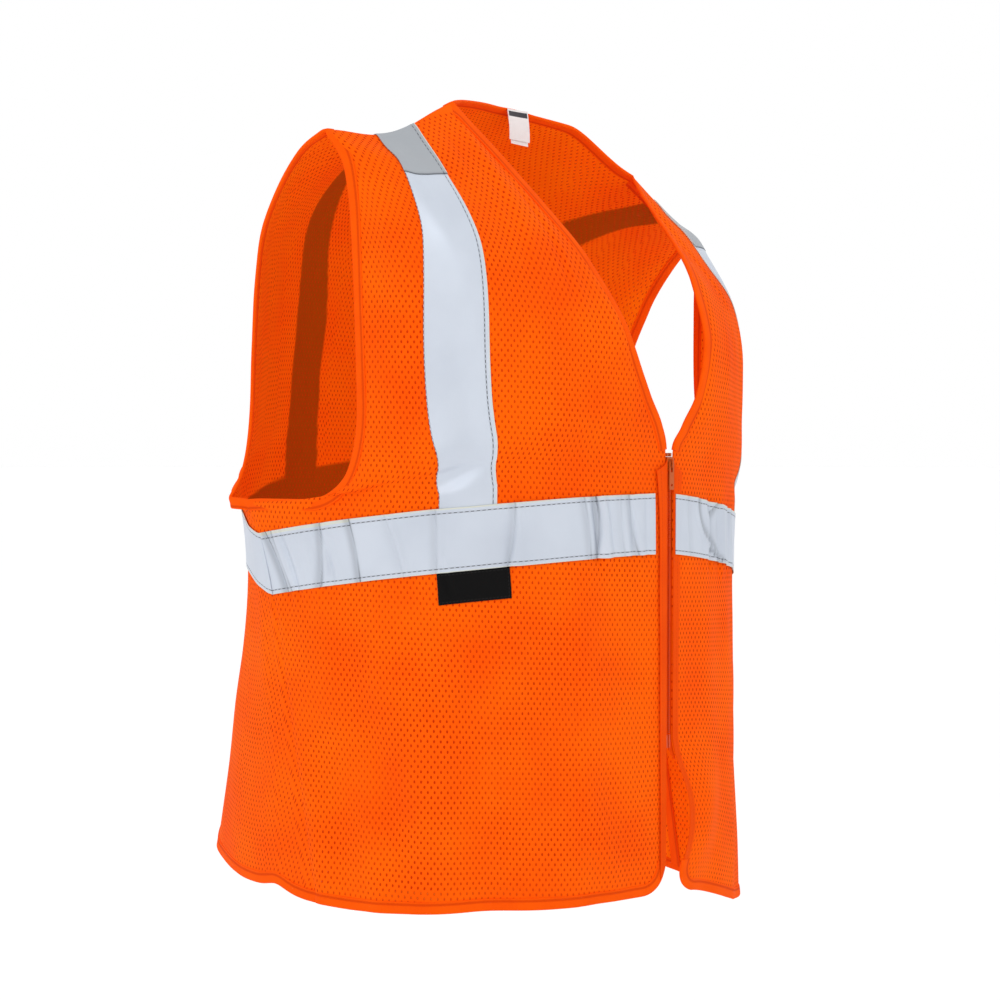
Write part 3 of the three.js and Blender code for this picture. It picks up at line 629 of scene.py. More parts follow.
# Each crease: its start and end, across from the front edge and up, its width and its depth.
FRONT_CREASES = {
    "right": [
        ((361, -376), (350, -436), 4, -3.2), ((345, -372), (338, -432), 3.5, -2.6),
        ((322, -368), (318, -436), 5, 2.0), ((304, -366), (302, -424), 3, -1.8),
        ((206, -392), (200, -424), 3, -1.8), ((144, -352), (150, -410), 5, -2.2),
        ((74, -336), (69, -398), 4.5, -3.0), ((66, -334), (60, -392), 3.5, 1.8),
        ((37, -332), (35, -388), 4, -1.8), ((22, -331), (20, -386), 4, -2.6),
        ((160, -428), (196, -530), 11, -2.6), ((146, -452), (178, -520), 9, -1.8),
        ((40, -20), (120, -170), 8, -2.2), ((62, -30), (128, -150), 7, -1.8),
        ((24, -60), (70, -190), 6, -1.6), ((300, -470), (250, -640), 16, -2.6),
        ((90, -560), (60, -660), 14, 2.4),
    ],
    "left": [
        ((56, -332), (60, -398), 5, -3.4), ((78, -334), (86, -402), 4.5, 2.6),
        ((96, -336), (104, -404), 4, -2.2), ((200, -345), (204, -410), 4, -2.4),
        ((300, -368), (304, -430), 4, -2.4), ((120, -420), (150, -560), 14, -2.6),
        ((230, -440), (210, -600), 16, -2.4), ((40, -20), (110, -160), 8, -2.0),
    ],
}


def crease(s, z, start, end, width, depth):
    """A fold line from start to end, in millimetres on the cloth: a groove beside a lower lip."""
    (s0, z0), (s1, z1) = start, end
    ds, dz = s1 - s0, z1 - z0
    length = math.hypot(ds, dz)
    along = ((s - s0) * ds + (z - z0) * dz) / length**2
    across = ((s - s0) * dz - (z - z0) * ds) / length / width
    fade = ease(along, -0.15, 0.25) * (1 - ease(along, 0.75, 1.15))
    return depth * fade * (np.exp(-across**2) - 0.5 * np.exp(-((across - 1.5) / 1.1) ** 2))


def corner_row(us):
    """How far up the first row the hem's round corner lifts each column."""
    from_edge = np.abs(front_form(1)(us, np.zeros_like(us))[..., 0]) - FRONT_ROWS[0, 0]
    inside = np.clip(HEM_CORNER - from_edge, 0, HEM_CORNER)
    round_corner = (HEM_CORNER - np.sqrt(HEM_CORNER**2 - inside**2)) / (FRONT_ROWS[1, 2] - FRONT_ROWS[0, 2])
    return round_corner + HEM_RISE * ease(us, 0.85, 1.0)


POCKET_U = (0.25, 0.97)
POCKET_TOP = (-486, -511)
POCKET_STITCH_DEPTH = 0.5


def pocket_top(u):
    """The height of the pocket's slanting top edge."""
    share = (u - POCKET_U[0]) / (POCKET_U[1] - POCKET_U[0])
    return POCKET_TOP[0] + (POCKET_TOP[1] - POCKET_TOP[0]) * share


def pocket_line(s, z):
    """1 along the stitching that holds the inside pocket, 0 away from it."""
    top = pocket_top(s / ROW_LENGTH)
    inner = np.exp(-((s - POCKET_U[0] * ROW_LENGTH) / 1.5) ** 2) * ease(top + 4 - z, 0, 4)
    upper = np.exp(-((z - top) / 1.5) ** 2) * ease(s / ROW_LENGTH, POCKET_U[0] - 0.01, POCKET_U[0])
    return np.maximum(inner, upper)


def front_folds(side):
    """Millimetres that a front stands off its even form: waves, creases and sewn lines."""
    def folds(cloth):
        s = cloth.u * ROW_LENGTH
        z = cloth.height
        seed = 5.0 if side == "right" else 11.0
        lower = ease(-z, 380, 640)
        depth = wander(s, z, 70, 220, seed) * (3.5 + 5.5 * lower)
        depth = depth + wander(s, z, 34, 90, seed + 2) * 2.2
        for start, end, width, fold in FRONT_CREASES[side]:
            depth = depth + crease(s, z, start, end, width, fold)
        centre = ease(s, 3, 34) * (z < -280) + (z >= -280) * ease(s, 1, 14)
        seams = (1 - ease(cloth.u, 0.94, 1.0)) * (1 - ease(cloth.raised, TOP_ROW - 0.5, TOP_ROW))
        sewn = seam_groove(cloth)
        if side == "right":
            sewn = sewn - POCKET_STITCH_DEPTH * pocket_line(s, z)
        return depth * centre * seams + sewn
    return folds


def blend_front(piece, side):
    """Bakes the piece's placement into its own points."""
    side + "_front"
    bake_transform(piece)


def join_shoulder(cloth, sign):
    """Brings the front's top edge on to the back's, so that the shoulder seam closes."""
    back_edge = back_cloth.at(np.linspace(NECK_SHARE - 0.03, 1, 2000) * sign, float(TOP_ROW))
    own_edge = cloth.points[:, -1]
    nearest = np.linalg.norm(own_edge[:, None] - back_edge, axis=2).argmin(axis=1)
    near_top = ease(cloth.t, TOP_ROW - 0.8, TOP_ROW)[..., None]
    cloth.points = cloth.points + (back_edge[nearest] - own_edge)[:, None] * near_top
    cloth.normals = cloth.grid_normals(sign)


# The left front's lower corner gapes: it stands away from the right one, in metres.
GAPE = (0.013, -0.009, 0)

front_us = np.linspace(0, 1, 181) ** 1.15
fronts = {}
front_panels = {}
for side, sign in SIDES.items():
    cloth = Cloth(front_form(sign), front_us, sign, front_folds(side), corner_row)
    if side == "left":
        gape = ease(-cloth.height, 535, 600) * (1 - ease(-cloth.height, 610, 690))
        gape = gape * (1 - ease(cloth.u, 0, 0.28))
        cloth.points = cloth.points + gape[..., None] * np.array(GAPE)
        cloth.normals = cloth.grid_normals(sign)
    join_shoulder(cloth, sign)
    fronts[side] = cloth
    piece = panel_mesh(side + "_front_cloth", cloth)
    front_panels[side] = piece
    blend_front(piece, side)
    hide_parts(side + "_front_panel")

# Front and back turn the same way at the side seams, so that what is sewn over them meets.
seam_rows = np.linspace(0, UNDERARM_ROW, 40)
for side, sign in SIDES.items():
    front = fronts[side]
    meeting = (front.sample(front.normals, np.ones(40), seam_rows)
               + back_cloth.sample(back_cloth.normals, np.full(40, float(sign)), seam_rows))
    meeting /= np.linalg.norm(meeting, axis=1, keepdims=True)
    for cloth, edge in ((front, 1), (back_cloth, sign)):
        near = ease(cloth.u * edge, 0.97, 1) * (1 - ease(cloth.t, UNDERARM_ROW, UNDERARM_ROW + 0.3))
        goal = np.stack([np.interp(cloth.t, seam_rows, meeting[:, k]) for k in range(3)], -1)
        cloth.normals = cloth.normals + (goal - cloth.normals) * near[..., None]
        cloth.normals /= np.linalg.norm(cloth.normals, axis=2, keepdims=True)

# ---------------------------------------------------------------------------
# Reflective tape: 51 mm silver-grey glass-bead tape with pale edges, sewn on by a row of
# stitches along each edge. The beads make it grey and slightly metallic.
TAPE_WIDTH = 51
TAPE_FACES = (1.9, 2.35)
BRACE_FACES = (1.25, 1.7)
STITCH_IN = 0.0034
STITCH_LENGTH = 0.0044
STITCH_SHARE = 0.58


def silver_tape(name, face, shade):
    """Tape of one colour, with its pale selvedge, its stitches and their holes, and painted shade along its
    folds.
    """
    tape = Finish(name, Metallic=0.35, Roughness=0.5, Specular_IOR_Level=0.4)
    across_tape, along_tape = tape.cloth_place()
    beads = tape.speckle(2600.0, 2.0)
    mottle = tape.speckle(16.0, 3.0).ramp(0.35, 0.68)
    fold = tape.mark("fold")
    from_edge = across_tape.least(TAPE_WIDTH * MM - across_tape)
    selvedge = 1 - from_edge.ramp(0.0005, 0.0008)
    from_stitches = (from_edge - STITCH_IN).size()
    in_stitch = (along_tape / STITCH_LENGTH).frac()
    thread = (1 - from_stitches.ramp(0.00030, 0.00050)) * (in_stitch < STITCH_SHARE)
    puncture = (1 - from_stitches.ramp(0.0004, 0.0011)) * (in_stitch > STITCH_SHARE)
    tape_colour = tape.mix(mottle * 0.5 + beads * 0.2, face, shade)
    tape_colour = tape.mix(selvedge, tape_colour, colour(212, 214, 204))
    tape_colour = tape.mix(puncture * 0.4, tape_colour, colour(140, 144, 150))
    tape_colour = tape.mix(thread * 0.9, tape_colour, colour(96, 98, 104))
    # Painted shade along the tape's folds, carried by the fold mark.
    tape_colour = tape.mix(fold, tape_colour, colour(74, 78, 86))
    tape.set("Base Color", tape_colour)
    tape.set("Roughness", 0.48 + beads * 0.08 + thread * 0.3 + fold * 0.2)
    tape.bump(beads * 0.12 + thread * 0.9 - puncture * 0.6, 0.0004, 0.5)
    return tape


silver = silver_tape("silver_reflective_tape", colour(208, 215, 226), colour(192, 199, 211))
# A darker copy of the tape: painted shade for where it turns up over the shoulder.
silver_shaded = silver_tape("silver_tape_shaded_at_shoulder", colour(172, 176, 181), colour(158, 163, 169))


def ribbon(name, cloth, us, ts, faces, finish, lift=0.0):
    """A strip of cloth laid on a panel: us and ts are grids, across the strip by along it."""
    middle = cloth.at(us, ts)
    wide_steps = np.linalg.norm(np.diff(middle, axis=0), axis=2).mean(axis=1)
    long_steps = np.linalg.norm(np.diff(middle, axis=1), axis=2).mean(axis=0)
    width = np.concatenate([[0], np.cumsum(wide_steps)])
    length = np.concatenate([[0], np.cumsum(long_steps)])
    place = np.stack(np.meshgrid(width, length, indexing="ij"), -1)
    low, high = faces
    piece = closed_sheet(name, cloth.at(us, ts, high + lift), cloth.at(us, ts, low + lift), place)
    piece.data.materials.append(finish.material)
    return piece


# Folds pressed into the waist tape: the column at its foot, middle and top edge, how strong the shade
# painted along the fold is, and how much the tape beside it stands up, in millimetres.
TAPE_FOLDS = {
    "right": [
        ((0.950, 0.962, 0.972), 0.90, 1.0), ((0.930, 0.945, 0.952), 0.50, 0.8),
        ((0.848, 0.832, 0.815), 0.75, 1.3), ((0.566, 0.556, 0.548), 0.28, 0.4),
        ((0.745, 0.7435, 0.742), 0.85, 0.0), ((0.405, 0.385, 0.378), 0.45, 0.9),
        ((0.212, 0.214, 0.222), 0.40, 0.6), ((0.196, 0.184, 0.192), 0.95, 1.5),
        ((0.082, 0.098, 0.110), 0.50, 1.1), ((0.120, 0.128, 0.130), 0.20, 0.8),
        ((0.640, 0.650, 0.660), 0.12, 0.7),
    ],
    "left": [
        ((0.205, 0.115, 0.093), 1.00, 1.9), ((0.235, 0.150, 0.190), 0.90, 1.7),
        ((0.330, 0.300, 0.290), 0.60, 1.6), ((0.060, 0.052, 0.050), 0.15, 0.6),
    ],
    "back": [
        ((-0.62, -0.60, -0.61), 0.5, 1.1), ((-0.24, -0.25, -0.23), 0.4, 1.0),
        ((0.10, 0.09, 0.11), 0.5, 1.1), ((0.44, 0.45, 0.43), 0.6, 1.2),
        ((0.83, 0.82, 0.84), 0.5, 1.1),
    ],
}


def folded(us, share, folds):
    """The shade painted into the tape along its folds, and how far it stands off the cloth beside them."""
    fold_shade = np.zeros(us.shape)
    lift = np.zeros(us.shape)
    for (foot, middle, top), shade_strength, stand in folds:
        line = foot * (1 - share) * (1 - 2 * share) + middle * 4 * share * (1 - share)
        line = line + top * share * (2 * share - 1)
        away = (us - line) * ROW_LENGTH
        fade = 0.35 + 0.65 * np.abs(2 * share - 1) ** 1.5
        fold_shade = np.maximum(fold_shade, shade_strength * fade * np.exp(-(away / 0.8) ** 2))
        fold_shade = np.maximum(fold_shade, 0.34 * shade_strength * np.exp(-((away - 2.6) / 3.2) ** 2))
        lift = lift - 0.5 * np.exp(-(away / 1.2) ** 2) + stand * np.exp(-((away + 3.6) / 2.6) ** 2)
    return fold_shade, lift


# The height of the waist tape's top edge at the front edges, the middle of the back and the
# side seams.
WAIST_FRONT_Z = -331
WAIST_BACK_Z = -303
WAIST_SIDE_Z = -379


def waist_top_front(u):
    return WAIST_FRONT_Z + (WAIST_SIDE_Z - WAIST_FRONT_Z) * np.clip(u, 0, 1) ** 1.3


def waist_top_back(u):
    return WAIST_BACK_Z + (WAIST_SIDE_Z - WAIST_BACK_Z) * np.abs(np.clip(u, -1, 1)) ** 1.05


def waist_tape(name, cloth, columns, top, faces, folds):
    """Upright position comes from the tape's own width, so its edges run evenly."""
    us, share = np.meshgrid(columns, np.linspace(0, 1, 19), indexing="xy")
    heights = top(us) - TAPE_WIDTH * (1 - share)
    fold_shade, lift = folded(us, share, folds)
    lift = lift * (1 - ease(np.abs(us), 0.98, 1))
    tape = ribbon(name, cloth, us, cloth.row_for(us, heights), faces, silver, lift)
    # The painted fold shade goes on the tape as its fold mark.
    set_mark(tape, "fold", fold_shade, fold_shade)
    return tape


back_waist = waist_tape("back_waist_tape_sewn", back_cloth, np.linspace(-1, 1, 561), waist_top_back,
                        TAPE_FACES, TAPE_FOLDS["back"])
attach(back_waist, "back")
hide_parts("back_waist_tape")

# The right front's tape is two lengths, the end of one under the other. The columns that each
# length spans, from the front edge to the side seam.
TAPE_JOIN = 0.742
TAPE_LAP = 0.012
TAPE_SPANS = {
    "right": {"": (0.036, TAPE_JOIN), "_end": (TAPE_JOIN - TAPE_LAP, 1)},
    "left": {"": (0.006, 1)},
}
for side, cloth in fronts.items():
    for part, (start, end) in TAPE_SPANS[side].items():
        columns = np.linspace(start, end, int(400 * (end - start)))
        tape = waist_tape(f"{side}_front_waist_tape{part}_sewn", cloth, columns, waist_top_front,
                          BRACE_FACES if part else TAPE_FACES, TAPE_FOLDS[side])
        blend_front(tape, side)
        if part == "":
            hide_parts(side + "_front_waist_tape")

# ---------------------------------------------------------------------------
# Brace tapes: the same tape over each shoulder, from the waist tape in front to the waist
# tape behind. Each stop is the row, then how far the inner and outer edges are from
# the middle of the vest, in millimetres.
FRONT_BRACE = [(2.6, 155, 189), (4.2, 157, 191), (6.3, 163, 198), (7.8, 164, 199), (8.7, 160, 194),
               (TOP_ROW, 157, 193)]
BACK_BRACE = [(2.6, 71, 121), (4.8, 74, 122), (7.4, 70, 121), (8.8, 118, 158), (TOP_ROW, 157, 193)]
TUCK = 4


def between_stops(stops, t, edge):
    """How far the inner edge, 0, or the outer one, 1, is from the middle at row t."""
    rows = [stop[0] for stop in stops]
    fine = np.linspace(rows[0], rows[-1], 400)
    straight = np.interp(fine, rows, [stop[1 + edge] for stop in stops])
    for _ in range(3):
        padded = np.pad(straight, 20, mode="reflect", reflect_type="odd")
        straight = np.convolve(padded, np.ones(41) / 41, mode="valid")
    return np.interp(t, fine, straight)


def column_for(form, x, t):
    """The u at which row t is x millimetres from the middle of the vest."""
    low, high = np.zeros(t.shape), np.ones(t.shape)
    for _ in range(30):
        middle = (low + high) / 2
        inside = np.abs(form(middle, t)[..., 0]) < x
        low, high = np.where(inside, middle, low), np.where(inside, high, middle)
    return (low + high) / 2


def brace_tape(name, cloth, form, stops, sign, waist_top):
    """A brace from under the waist tape's top edge to the shoulder seam."""
    share, rise = np.meshgrid(np.linspace(0, 1, 17), np.linspace(0, 1, 171), indexing="ij")
    foot_x = stops[0][1] + (stops[0][2] - stops[0][1]) * share
    foot_u = column_for(form, foot_x, np.full(share.shape, 3.0))
    foot = cloth.row_for(sign * foot_u, waist_top(foot_u) - TUCK)
    ts = foot + (stops[-1][0] - foot) * rise
    xs = between_stops(stops, ts, 0) * (1 - share) + between_stops(stops, ts, 1) * share
    tape = ribbon(name, cloth, sign * column_for(form, xs, ts), ts, BRACE_FACES, silver)
    return tape


LAP_ROW = 9.02
LAP_FACES = (1.75, 2.15)
LAP_MARGIN = 0.4


def shoulder_lap(name, cloth):
    """The back brace's tape carried over the shoulder and sewn down on the front brace, in the darker copy of
    the tape that paints shade on it, with a painted dark line along its lower edge.
    """
    share, ts = np.meshgrid(np.linspace(0, 1, 17), np.linspace(LAP_ROW, TOP_ROW, 33), indexing="ij")
    inner = between_stops(FRONT_BRACE, ts, 0) - LAP_MARGIN
    outer = between_stops(FRONT_BRACE, ts, 1) + LAP_MARGIN
    xs = inner * (1 - share) + outer * share
    tape = ribbon(name, cloth, column_for(front_form(1), xs, ts), ts, LAP_FACES, silver_shaded)
    # Painted shade: a dark line along the lap's lower edge.
    fold = 0.8 * np.exp(-((ts - LAP_ROW) / 0.02) ** 2)
    set_mark(tape, "fold", fold, fold)
    return tape


def band(value, low, high, edge=1.5):
    """1 between low and high, 0 outside, with soft edges."""
    return ease(value, low - edge, low + edge) * (1 - ease(value, high - edge, high + edge))


def paint_shade_behind_tape(piece, cloth, waist_top, stops):
    """Painted shade: seen from inside, the knit is coloured darker where tape sewn behind it keeps the light
    from coming through.
    """
    waist = band(cloth.height, waist_top(cloth.u) - TAPE_WIDTH, waist_top(cloth.u))
    edges = between_stops(stops, cloth.raised, 0), between_stops(stops, cloth.raised, 1)
    brace = band(cloth.reach, edges[0], edges[1]) * (cloth.height > waist_top(cloth.u) - TUCK)
    set_mark(piece, "inside_and_tape_shade", np.zeros(cloth.u.shape), 0.5 + 0.5 * np.maximum(waist, brace))


paint_shade_behind_tape(back_panel, back_cloth, waist_top_back, BACK_BRACE)
for side, sign in SIDES.items():
    paint_shade_behind_tape(front_panels[side], fronts[side], waist_top_front, FRONT_BRACE)
    lap = shoulder_lap(side + "_shoulder_tape_lap", fronts[side])
    blend_front(lap, side)
    tape = brace_tape(side + "_front_brace_sewn", fronts[side], front_form(1), FRONT_BRACE, 1,
                      waist_top_front)
    blend_front(tape, side)
    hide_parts(side + "_front_brace_tape")
    tape = brace_tape(side + "_back_brace_sewn", back_cloth, back_form, BACK_BRACE, sign,
                      waist_top_back)
    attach(tape, "back")
    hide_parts(side + "_back_brace_tape")

# ---------------------------------------------------------------------------
# Bindings: knitted orange tape folded round every raw edge and stitched through: neckline,
# armholes and hem. Each is a flat tube round the panel's edge.
BINDING_ORANGE = colour(250, 90, 0)
BINDING_DEEP = colour(236, 72, 0)
# The tube's section: how far on to the cloth, and how far off it.
BINDING_PROFILE = [(8.6, 0.9), (8.5, 1.5), (6.6, 1.75), (4.6, 1.95), (2.2, 2.1), (0.3, 2.1),
                   (-1.0, 1.6), (-1.4, 0.5), (-1.1, -0.6), (0.3, -1.1), (2.2, -1.1), (6.6, -1.0),
                   (8.5, -0.8), (8.6, 0.0)]
BINDING_STITCH_IN = 0.0064
RIB_PITCH = 0.0011

trim = Finish("orange_binding_knit", Roughness=0.88, Specular_IOR_Level=0.08)
trim_across, trim_along = trim.cloth_place()
ribs = (trim_along * (2 * math.pi / RIB_PITCH)).math("SINE") * 0.5 + 0.5
from_stitch = (trim_across - BINDING_STITCH_IN).size()
stitch = (1 - from_stitch.ramp(0.00025, 0.00055)) * ((trim_along / 0.0032).frac() < 0.66)
stitch_dip = 1 - from_stitch.ramp(0.0004, 0.0016)
patchy = trim.speckle(40.0, 3.0).ramp(0.3, 0.7)
trim_colour = trim.mix(patchy * 0.4 + (1 - ribs) * 0.25, BINDING_ORANGE, BINDING_DEEP)
# Painted shade in the dip that the stitching pulls into the binding.
trim_colour = trim.mix(stitch_dip * 0.5, trim_colour, colour(190, 44, 0))
trim_colour = trim.mix(stitch * 0.6, trim_colour, colour(222, 66, 0))
trim.set("Base Color", trim_colour)
trim.bump(ribs * 0.3 + stitch * 0.8 - stitch_dip * 0.7, 0.0005, 0.6)
# Painted light: the binding glows a little, like the knit, to lift its shade.
trim.set("Emission Color", trim_colour)
trim.shader.inputs["Emission Strength"].default_value = GLOW


def unit(vectors):
    return vectors / np.linalg.norm(vectors, axis=1, keepdims=True)


def evened(vectors, span=9):
    """Directions along an edge, averaged over a few neighbours."""
    padded = np.pad(vectors, ((span // 2, span // 2), (0, 0)), mode="edge")
    weights = np.full(span, 1 / span)
    return unit(np.stack([np.convolve(padded[:, k], weights, mode="valid") for k in range(3)], 1))


def edge_frame(cloth, us, ts, inward):
    """Points along an edge, the way on to the cloth and the outward normal, side by side.
    inward is the sign that turns normal x direction into the way on to the cloth."""
    edge = cloth.at(us, ts)
    ahead = unit(np.gradient(edge, axis=0))
    on_cloth = evened(np.cross(cloth.sample(cloth.normals, us, ts), ahead) * inward)
    return np.stack([edge, on_cloth, unit(np.cross(ahead, on_cloth) * inward)], 1)


# The ring of cloth round each point of an edge that its binding lies on, in metres.
BOUND_CLOTH = (0.006, 0.012)


def lay_flat(frames, cloth, inward):
    """Tilts a binding's frames so that they follow the cloth over the binding's own width."""
    points = cloth.points.reshape(-1, 3)
    edge, on_cloth = frames[:, 0], frames[:, 1].copy()
    for i in range(len(edge)):
        offsets = points - edge[i]
        distance = np.linalg.norm(offsets, axis=1)
        below = (distance > BOUND_CLOTH[0]) & (distance < BOUND_CLOTH[1])
        below = below & (offsets @ on_cloth[i] > 0.85 * distance)
        if below.any():
            on_cloth[i] = (offsets[below] / distance[below, None]).mean(axis=0)
    ahead = unit(np.gradient(edge, axis=0))
    on_cloth = evened(on_cloth - ahead * (on_cloth * ahead).sum(1, keepdims=True), 15)
    return np.stack([edge, on_cloth, unit(np.cross(ahead, on_cloth) * inward)], 1)


def meet(one, end_one, other, end_other, reach=0.018):
    """Brings two edges that meet at a seam to the same point and turn, over the last stretch."""
    shared = (one[end_one] + other[end_other]) / 2
    for edge, end in ((one, end_one), (other, end_other)):
        distance = np.linalg.norm(edge[:, 0] - edge[end, 0], axis=1)
        weight = 1 - ease(distance, 0, reach)
        edge += (shared - edge[end]) * weight[:, None, None]
        edge[:, 1:] /= np.linalg.norm(edge[:, 1:], axis=2, keepdims=True)


def bound_edge(name, frames):
    """Binding folded round the edge that the frames follow."""
    edge, on_cloth, normal = frames[:, 0], frames[:, 1], frames[:, 2]
    length = np.concatenate([[0], np.cumsum(np.linalg.norm(np.diff(edge, axis=0), axis=1))])
    pucker = 1 + 0.12 * np.sin(length / 0.011) * np.sin(length / 0.043)
    rings = [edge + on_cloth * (a * MM) + normal * (lift * MM * (pucker[:, None] if lift > 1 else 1))
             for a, lift in BINDING_PROFILE]
    rings = np.stack(rings, 1)
    n, k = rings.shape[:2]
    index = np.arange(n * k).reshape(n, k)
    near, far = index[:-1], index[1:]
    walls = np.stack([near, np.roll(near, -1, 1), np.roll(far, -1, 1), far], -1).reshape(-1, 4)
    mesh = bpy.data.meshes.new(name)
    faces = walls.tolist() + [index[0, ::-1].tolist(), index[-1].tolist()]
    mesh.from_pydata(rings.reshape(-1, 3).tolist(), [], faces)
    layer = mesh.uv_layers.new(name="cloth")
    widths = np.array([a for a, _ in BINDING_PROFILE]) * MM
    flat = np.stack([np.broadcast_to(widths, (n, k)), np.broadcast_to(length[:, None], (n, k))], -1)
    corners = np.concatenate([np.array(face) for face in faces])
    layer.data.foreach_set("uv", flat.reshape(-1, 2)[corners].astype(np.float32).reshape(-1))
    piece = finished(name, mesh, 60)
    piece.data.materials.append(trim.material)
    return piece


# Rows along an armhole, closer together where they run along its edge.
ARMHOLE_STOPS = [3, 3.35, 3.7, 4.1, 4.8, 5.6, 6.4, 7.2, 7.9, 8.6, 9.3, TOP_ROW]
armhole_rows = np.interp(np.linspace(0, 1, 240), np.linspace(0, 1, len(ARMHOLE_STOPS)), ARMHOLE_STOPS)
neck_rows = np.linspace(UNDERARM_ROW + 0.01, TOP_ROW, 200)
neck_us = np.linspace(-NECK_SHARE, NECK_SHARE, 160)
back_neck_edge = edge_frame(back_cloth, neck_us, np.full(160, float(TOP_ROW)), 1)
back_hem_edge = edge_frame(back_cloth, np.linspace(-0.999, 0.999, 300), np.zeros(300), -1)
hem_us = np.linspace(0, 1, 220) ** 1.8 * 0.999
for side, sign in SIDES.items():
    cloth = fronts[side]
    neck_edge = edge_frame(cloth, np.zeros(200), neck_rows, -sign)
    armhole_edge = lay_flat(edge_frame(cloth, np.ones(240), armhole_rows, sign), cloth, sign)
    hem_edge = edge_frame(cloth, hem_us, np.zeros(220), sign)
    back_armhole_edge = edge_frame(back_cloth, np.full(240, float(sign)), armhole_rows, -sign)
    back_armhole_edge = lay_flat(back_armhole_edge, back_cloth, -sign)
    seam_end = 0 if sign < 0 else -1
    meet(neck_edge, -1, back_neck_edge, seam_end)
    meet(hem_edge, -1, back_hem_edge, seam_end)
    meet(armhole_edge, -1, back_armhole_edge, -1)
    meet(armhole_edge, 0, back_armhole_edge, 0)
    for part, edge in (("neck", neck_edge), ("front_armhole", armhole_edge), ("front_hem", hem_edge)):
        piece = bound_edge(f"{side}_{part}_binding_sewn", edge)
        blend_front(piece, side)
        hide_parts(f"{side}_{part}_binding")
    piece = bound_edge(side + "_back_armhole_binding_sewn", back_armhole_edge)
    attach(piece, "back")
    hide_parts(side + "_back_armhole_binding")

back_neck = bound_edge("back_neck_binding_sewn", back_neck_edge)
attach(back_neck, "back")
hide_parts("back_neck_binding")
back_hem = bound_edge("back_hem_binding_sewn", back_hem_edge)
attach(back_hem, "back")
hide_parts("back_hem_binding")

# ---------------------------------------------------------------------------
# Facings and zip tapes: a smooth woven strip covers each raw front edge beside the zip, and
# the zip's own narrow tape is sewn behind it, so a little of it shows by the teeth.
FACING_WIDTH = 17
FACING_FACES = {"right": (2.5, 3.1), "left": (1.1, 1.7)}
FRONT_EDGE_X = 5
FACING_STITCH_IN = 0.0135
ZIP_TAPE_WIDTH = 14
ZIP_TAPE_FACES = (-1.6, -1.0)
ZIP_TAPE_REACH = 4.4
ZIP_TOP_Z = -303
ZIP_FOOT_Z = -547
FACING_FOOT_Z = -640

woven = Finish("orange_woven_strip", Roughness=0.85, Specular_IOR_Level=0.08)
woven_across, woven_along = woven.cloth_place()
twill = ((woven_across + woven_along) * (2 * math.pi / 0.0010)).math("SINE") * 0.5 + 0.5
lockstitch = 1 - ((woven_across - FACING_STITCH_IN).size()).ramp(0.0002, 0.0005)
lockstitch = lockstitch * ((woven_along / 0.0030).frac() < 0.66)
strip_fade = woven.speckle(30.0, 3.0).ramp(0.3, 0.7)
woven_colour = woven.mix(strip_fade * 0.5 + twill * 0.15, colour(240, 80, 0), colour(228, 66, 0))
woven_colour = woven.mix(lockstitch * 0.6, woven_colour, colour(200, 52, 0))
woven.set("Base Color", woven_colour)
woven.bump(twill * 0.2 + lockstitch * 0.8, 0.0004, 0.6)
# Painted light: the strip glows a little, like the knit, to lift its shade.
woven.set("Emission Color", woven_colour)
woven.shader.inputs["Emission Strength"].default_value = GLOW


def share_of_row(cloth, t, millimetres):
    """How far u has to move from the front edge to cover a distance, row by row."""
    step = 0.02
    run = np.linalg.norm(cloth.at(step, t) - cloth.at(0.0, t), axis=-1) / MM
    return millimetres * step / run


for side, cloth in fronts.items():
    top = float(cloth.row_for(0.0, ZIP_TOP_Z))
    low = float(cloth.row_for(0.0, FACING_FOOT_Z))
    width, ts = np.meshgrid(np.linspace(0, 1, 7), np.linspace(low, top, 161), indexing="ij")
    facing = ribbon(side + "_front_facing_sewn", cloth, share_of_row(cloth, ts, FACING_WIDTH) * width, ts,
                    FACING_FACES[side], woven)
    blend_front(facing, side)
    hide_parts(side + "_front_facing")
    low = float(cloth.row_for(0.0, ZIP_FOOT_Z))
    width, ts = np.meshgrid(np.linspace(0, 1, 9), np.linspace(low, top, 141), indexing="ij")
    tape = ribbon(side + "_zip_tape_woven", cloth, share_of_row(cloth, ts, ZIP_TAPE_WIDTH) * width, ts,
                  ZIP_TAPE_FACES, woven)
    points = np.array([vertex.co for vertex in tape.data.vertices])
    towards_zip = 1 - ease(np.abs(points[:, 0]) / MM, FRONT_EDGE_X, ZIP_TAPE_WIDTH)
    points[:, 0] -= SIDES[side] * ZIP_TAPE_REACH * MM * towards_zip
    tape.data.vertices.foreach_set("co", points.astype(np.float32).reshape(-1))
    blend_front(tape, side)
    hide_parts(side + "_zip_tape")

# ---------------------------------------------------------------------------
# Zip: moulded coil teeth on each tape, painted slider and pull, top stops, and the pin and
# box at the foot. The teeth are one small bead, copied up the chain, half a pitch apart.
TOOTH_PITCH = 1.5
TOOTH_HALF = (1.15, 1.15, 0.5)
FIRST_TOOTH = 0.8

nylon = Finish("zip_nylon", Roughness=0.42)
nylon_tone = nylon.speckle(300.0, 2.0)
nylon.set("Base Color", nylon.mix(nylon_tone, colour(226, 78, 8), colour(206, 66, 4)))
nylon.set("Roughness", 0.36 + nylon_tone * 0.2)

paint = Finish("zip_paint", Metallic=0.25)
paint_wear = paint.speckle(700.0, 3.0)
chips = paint_wear.ramp(0.66, 0.72)
paint_colour = paint.mix(paint.speckle(120.0), colour(204, 92, 16), colour(180, 74, 8))
paint.set("Base Color", paint.mix(chips, paint_colour, colour(150, 120, 86)))
paint.set("Roughness", 0.30 + paint_wear * 0.18)
paint.bump(paint_wear, 0.00008, 0.5)

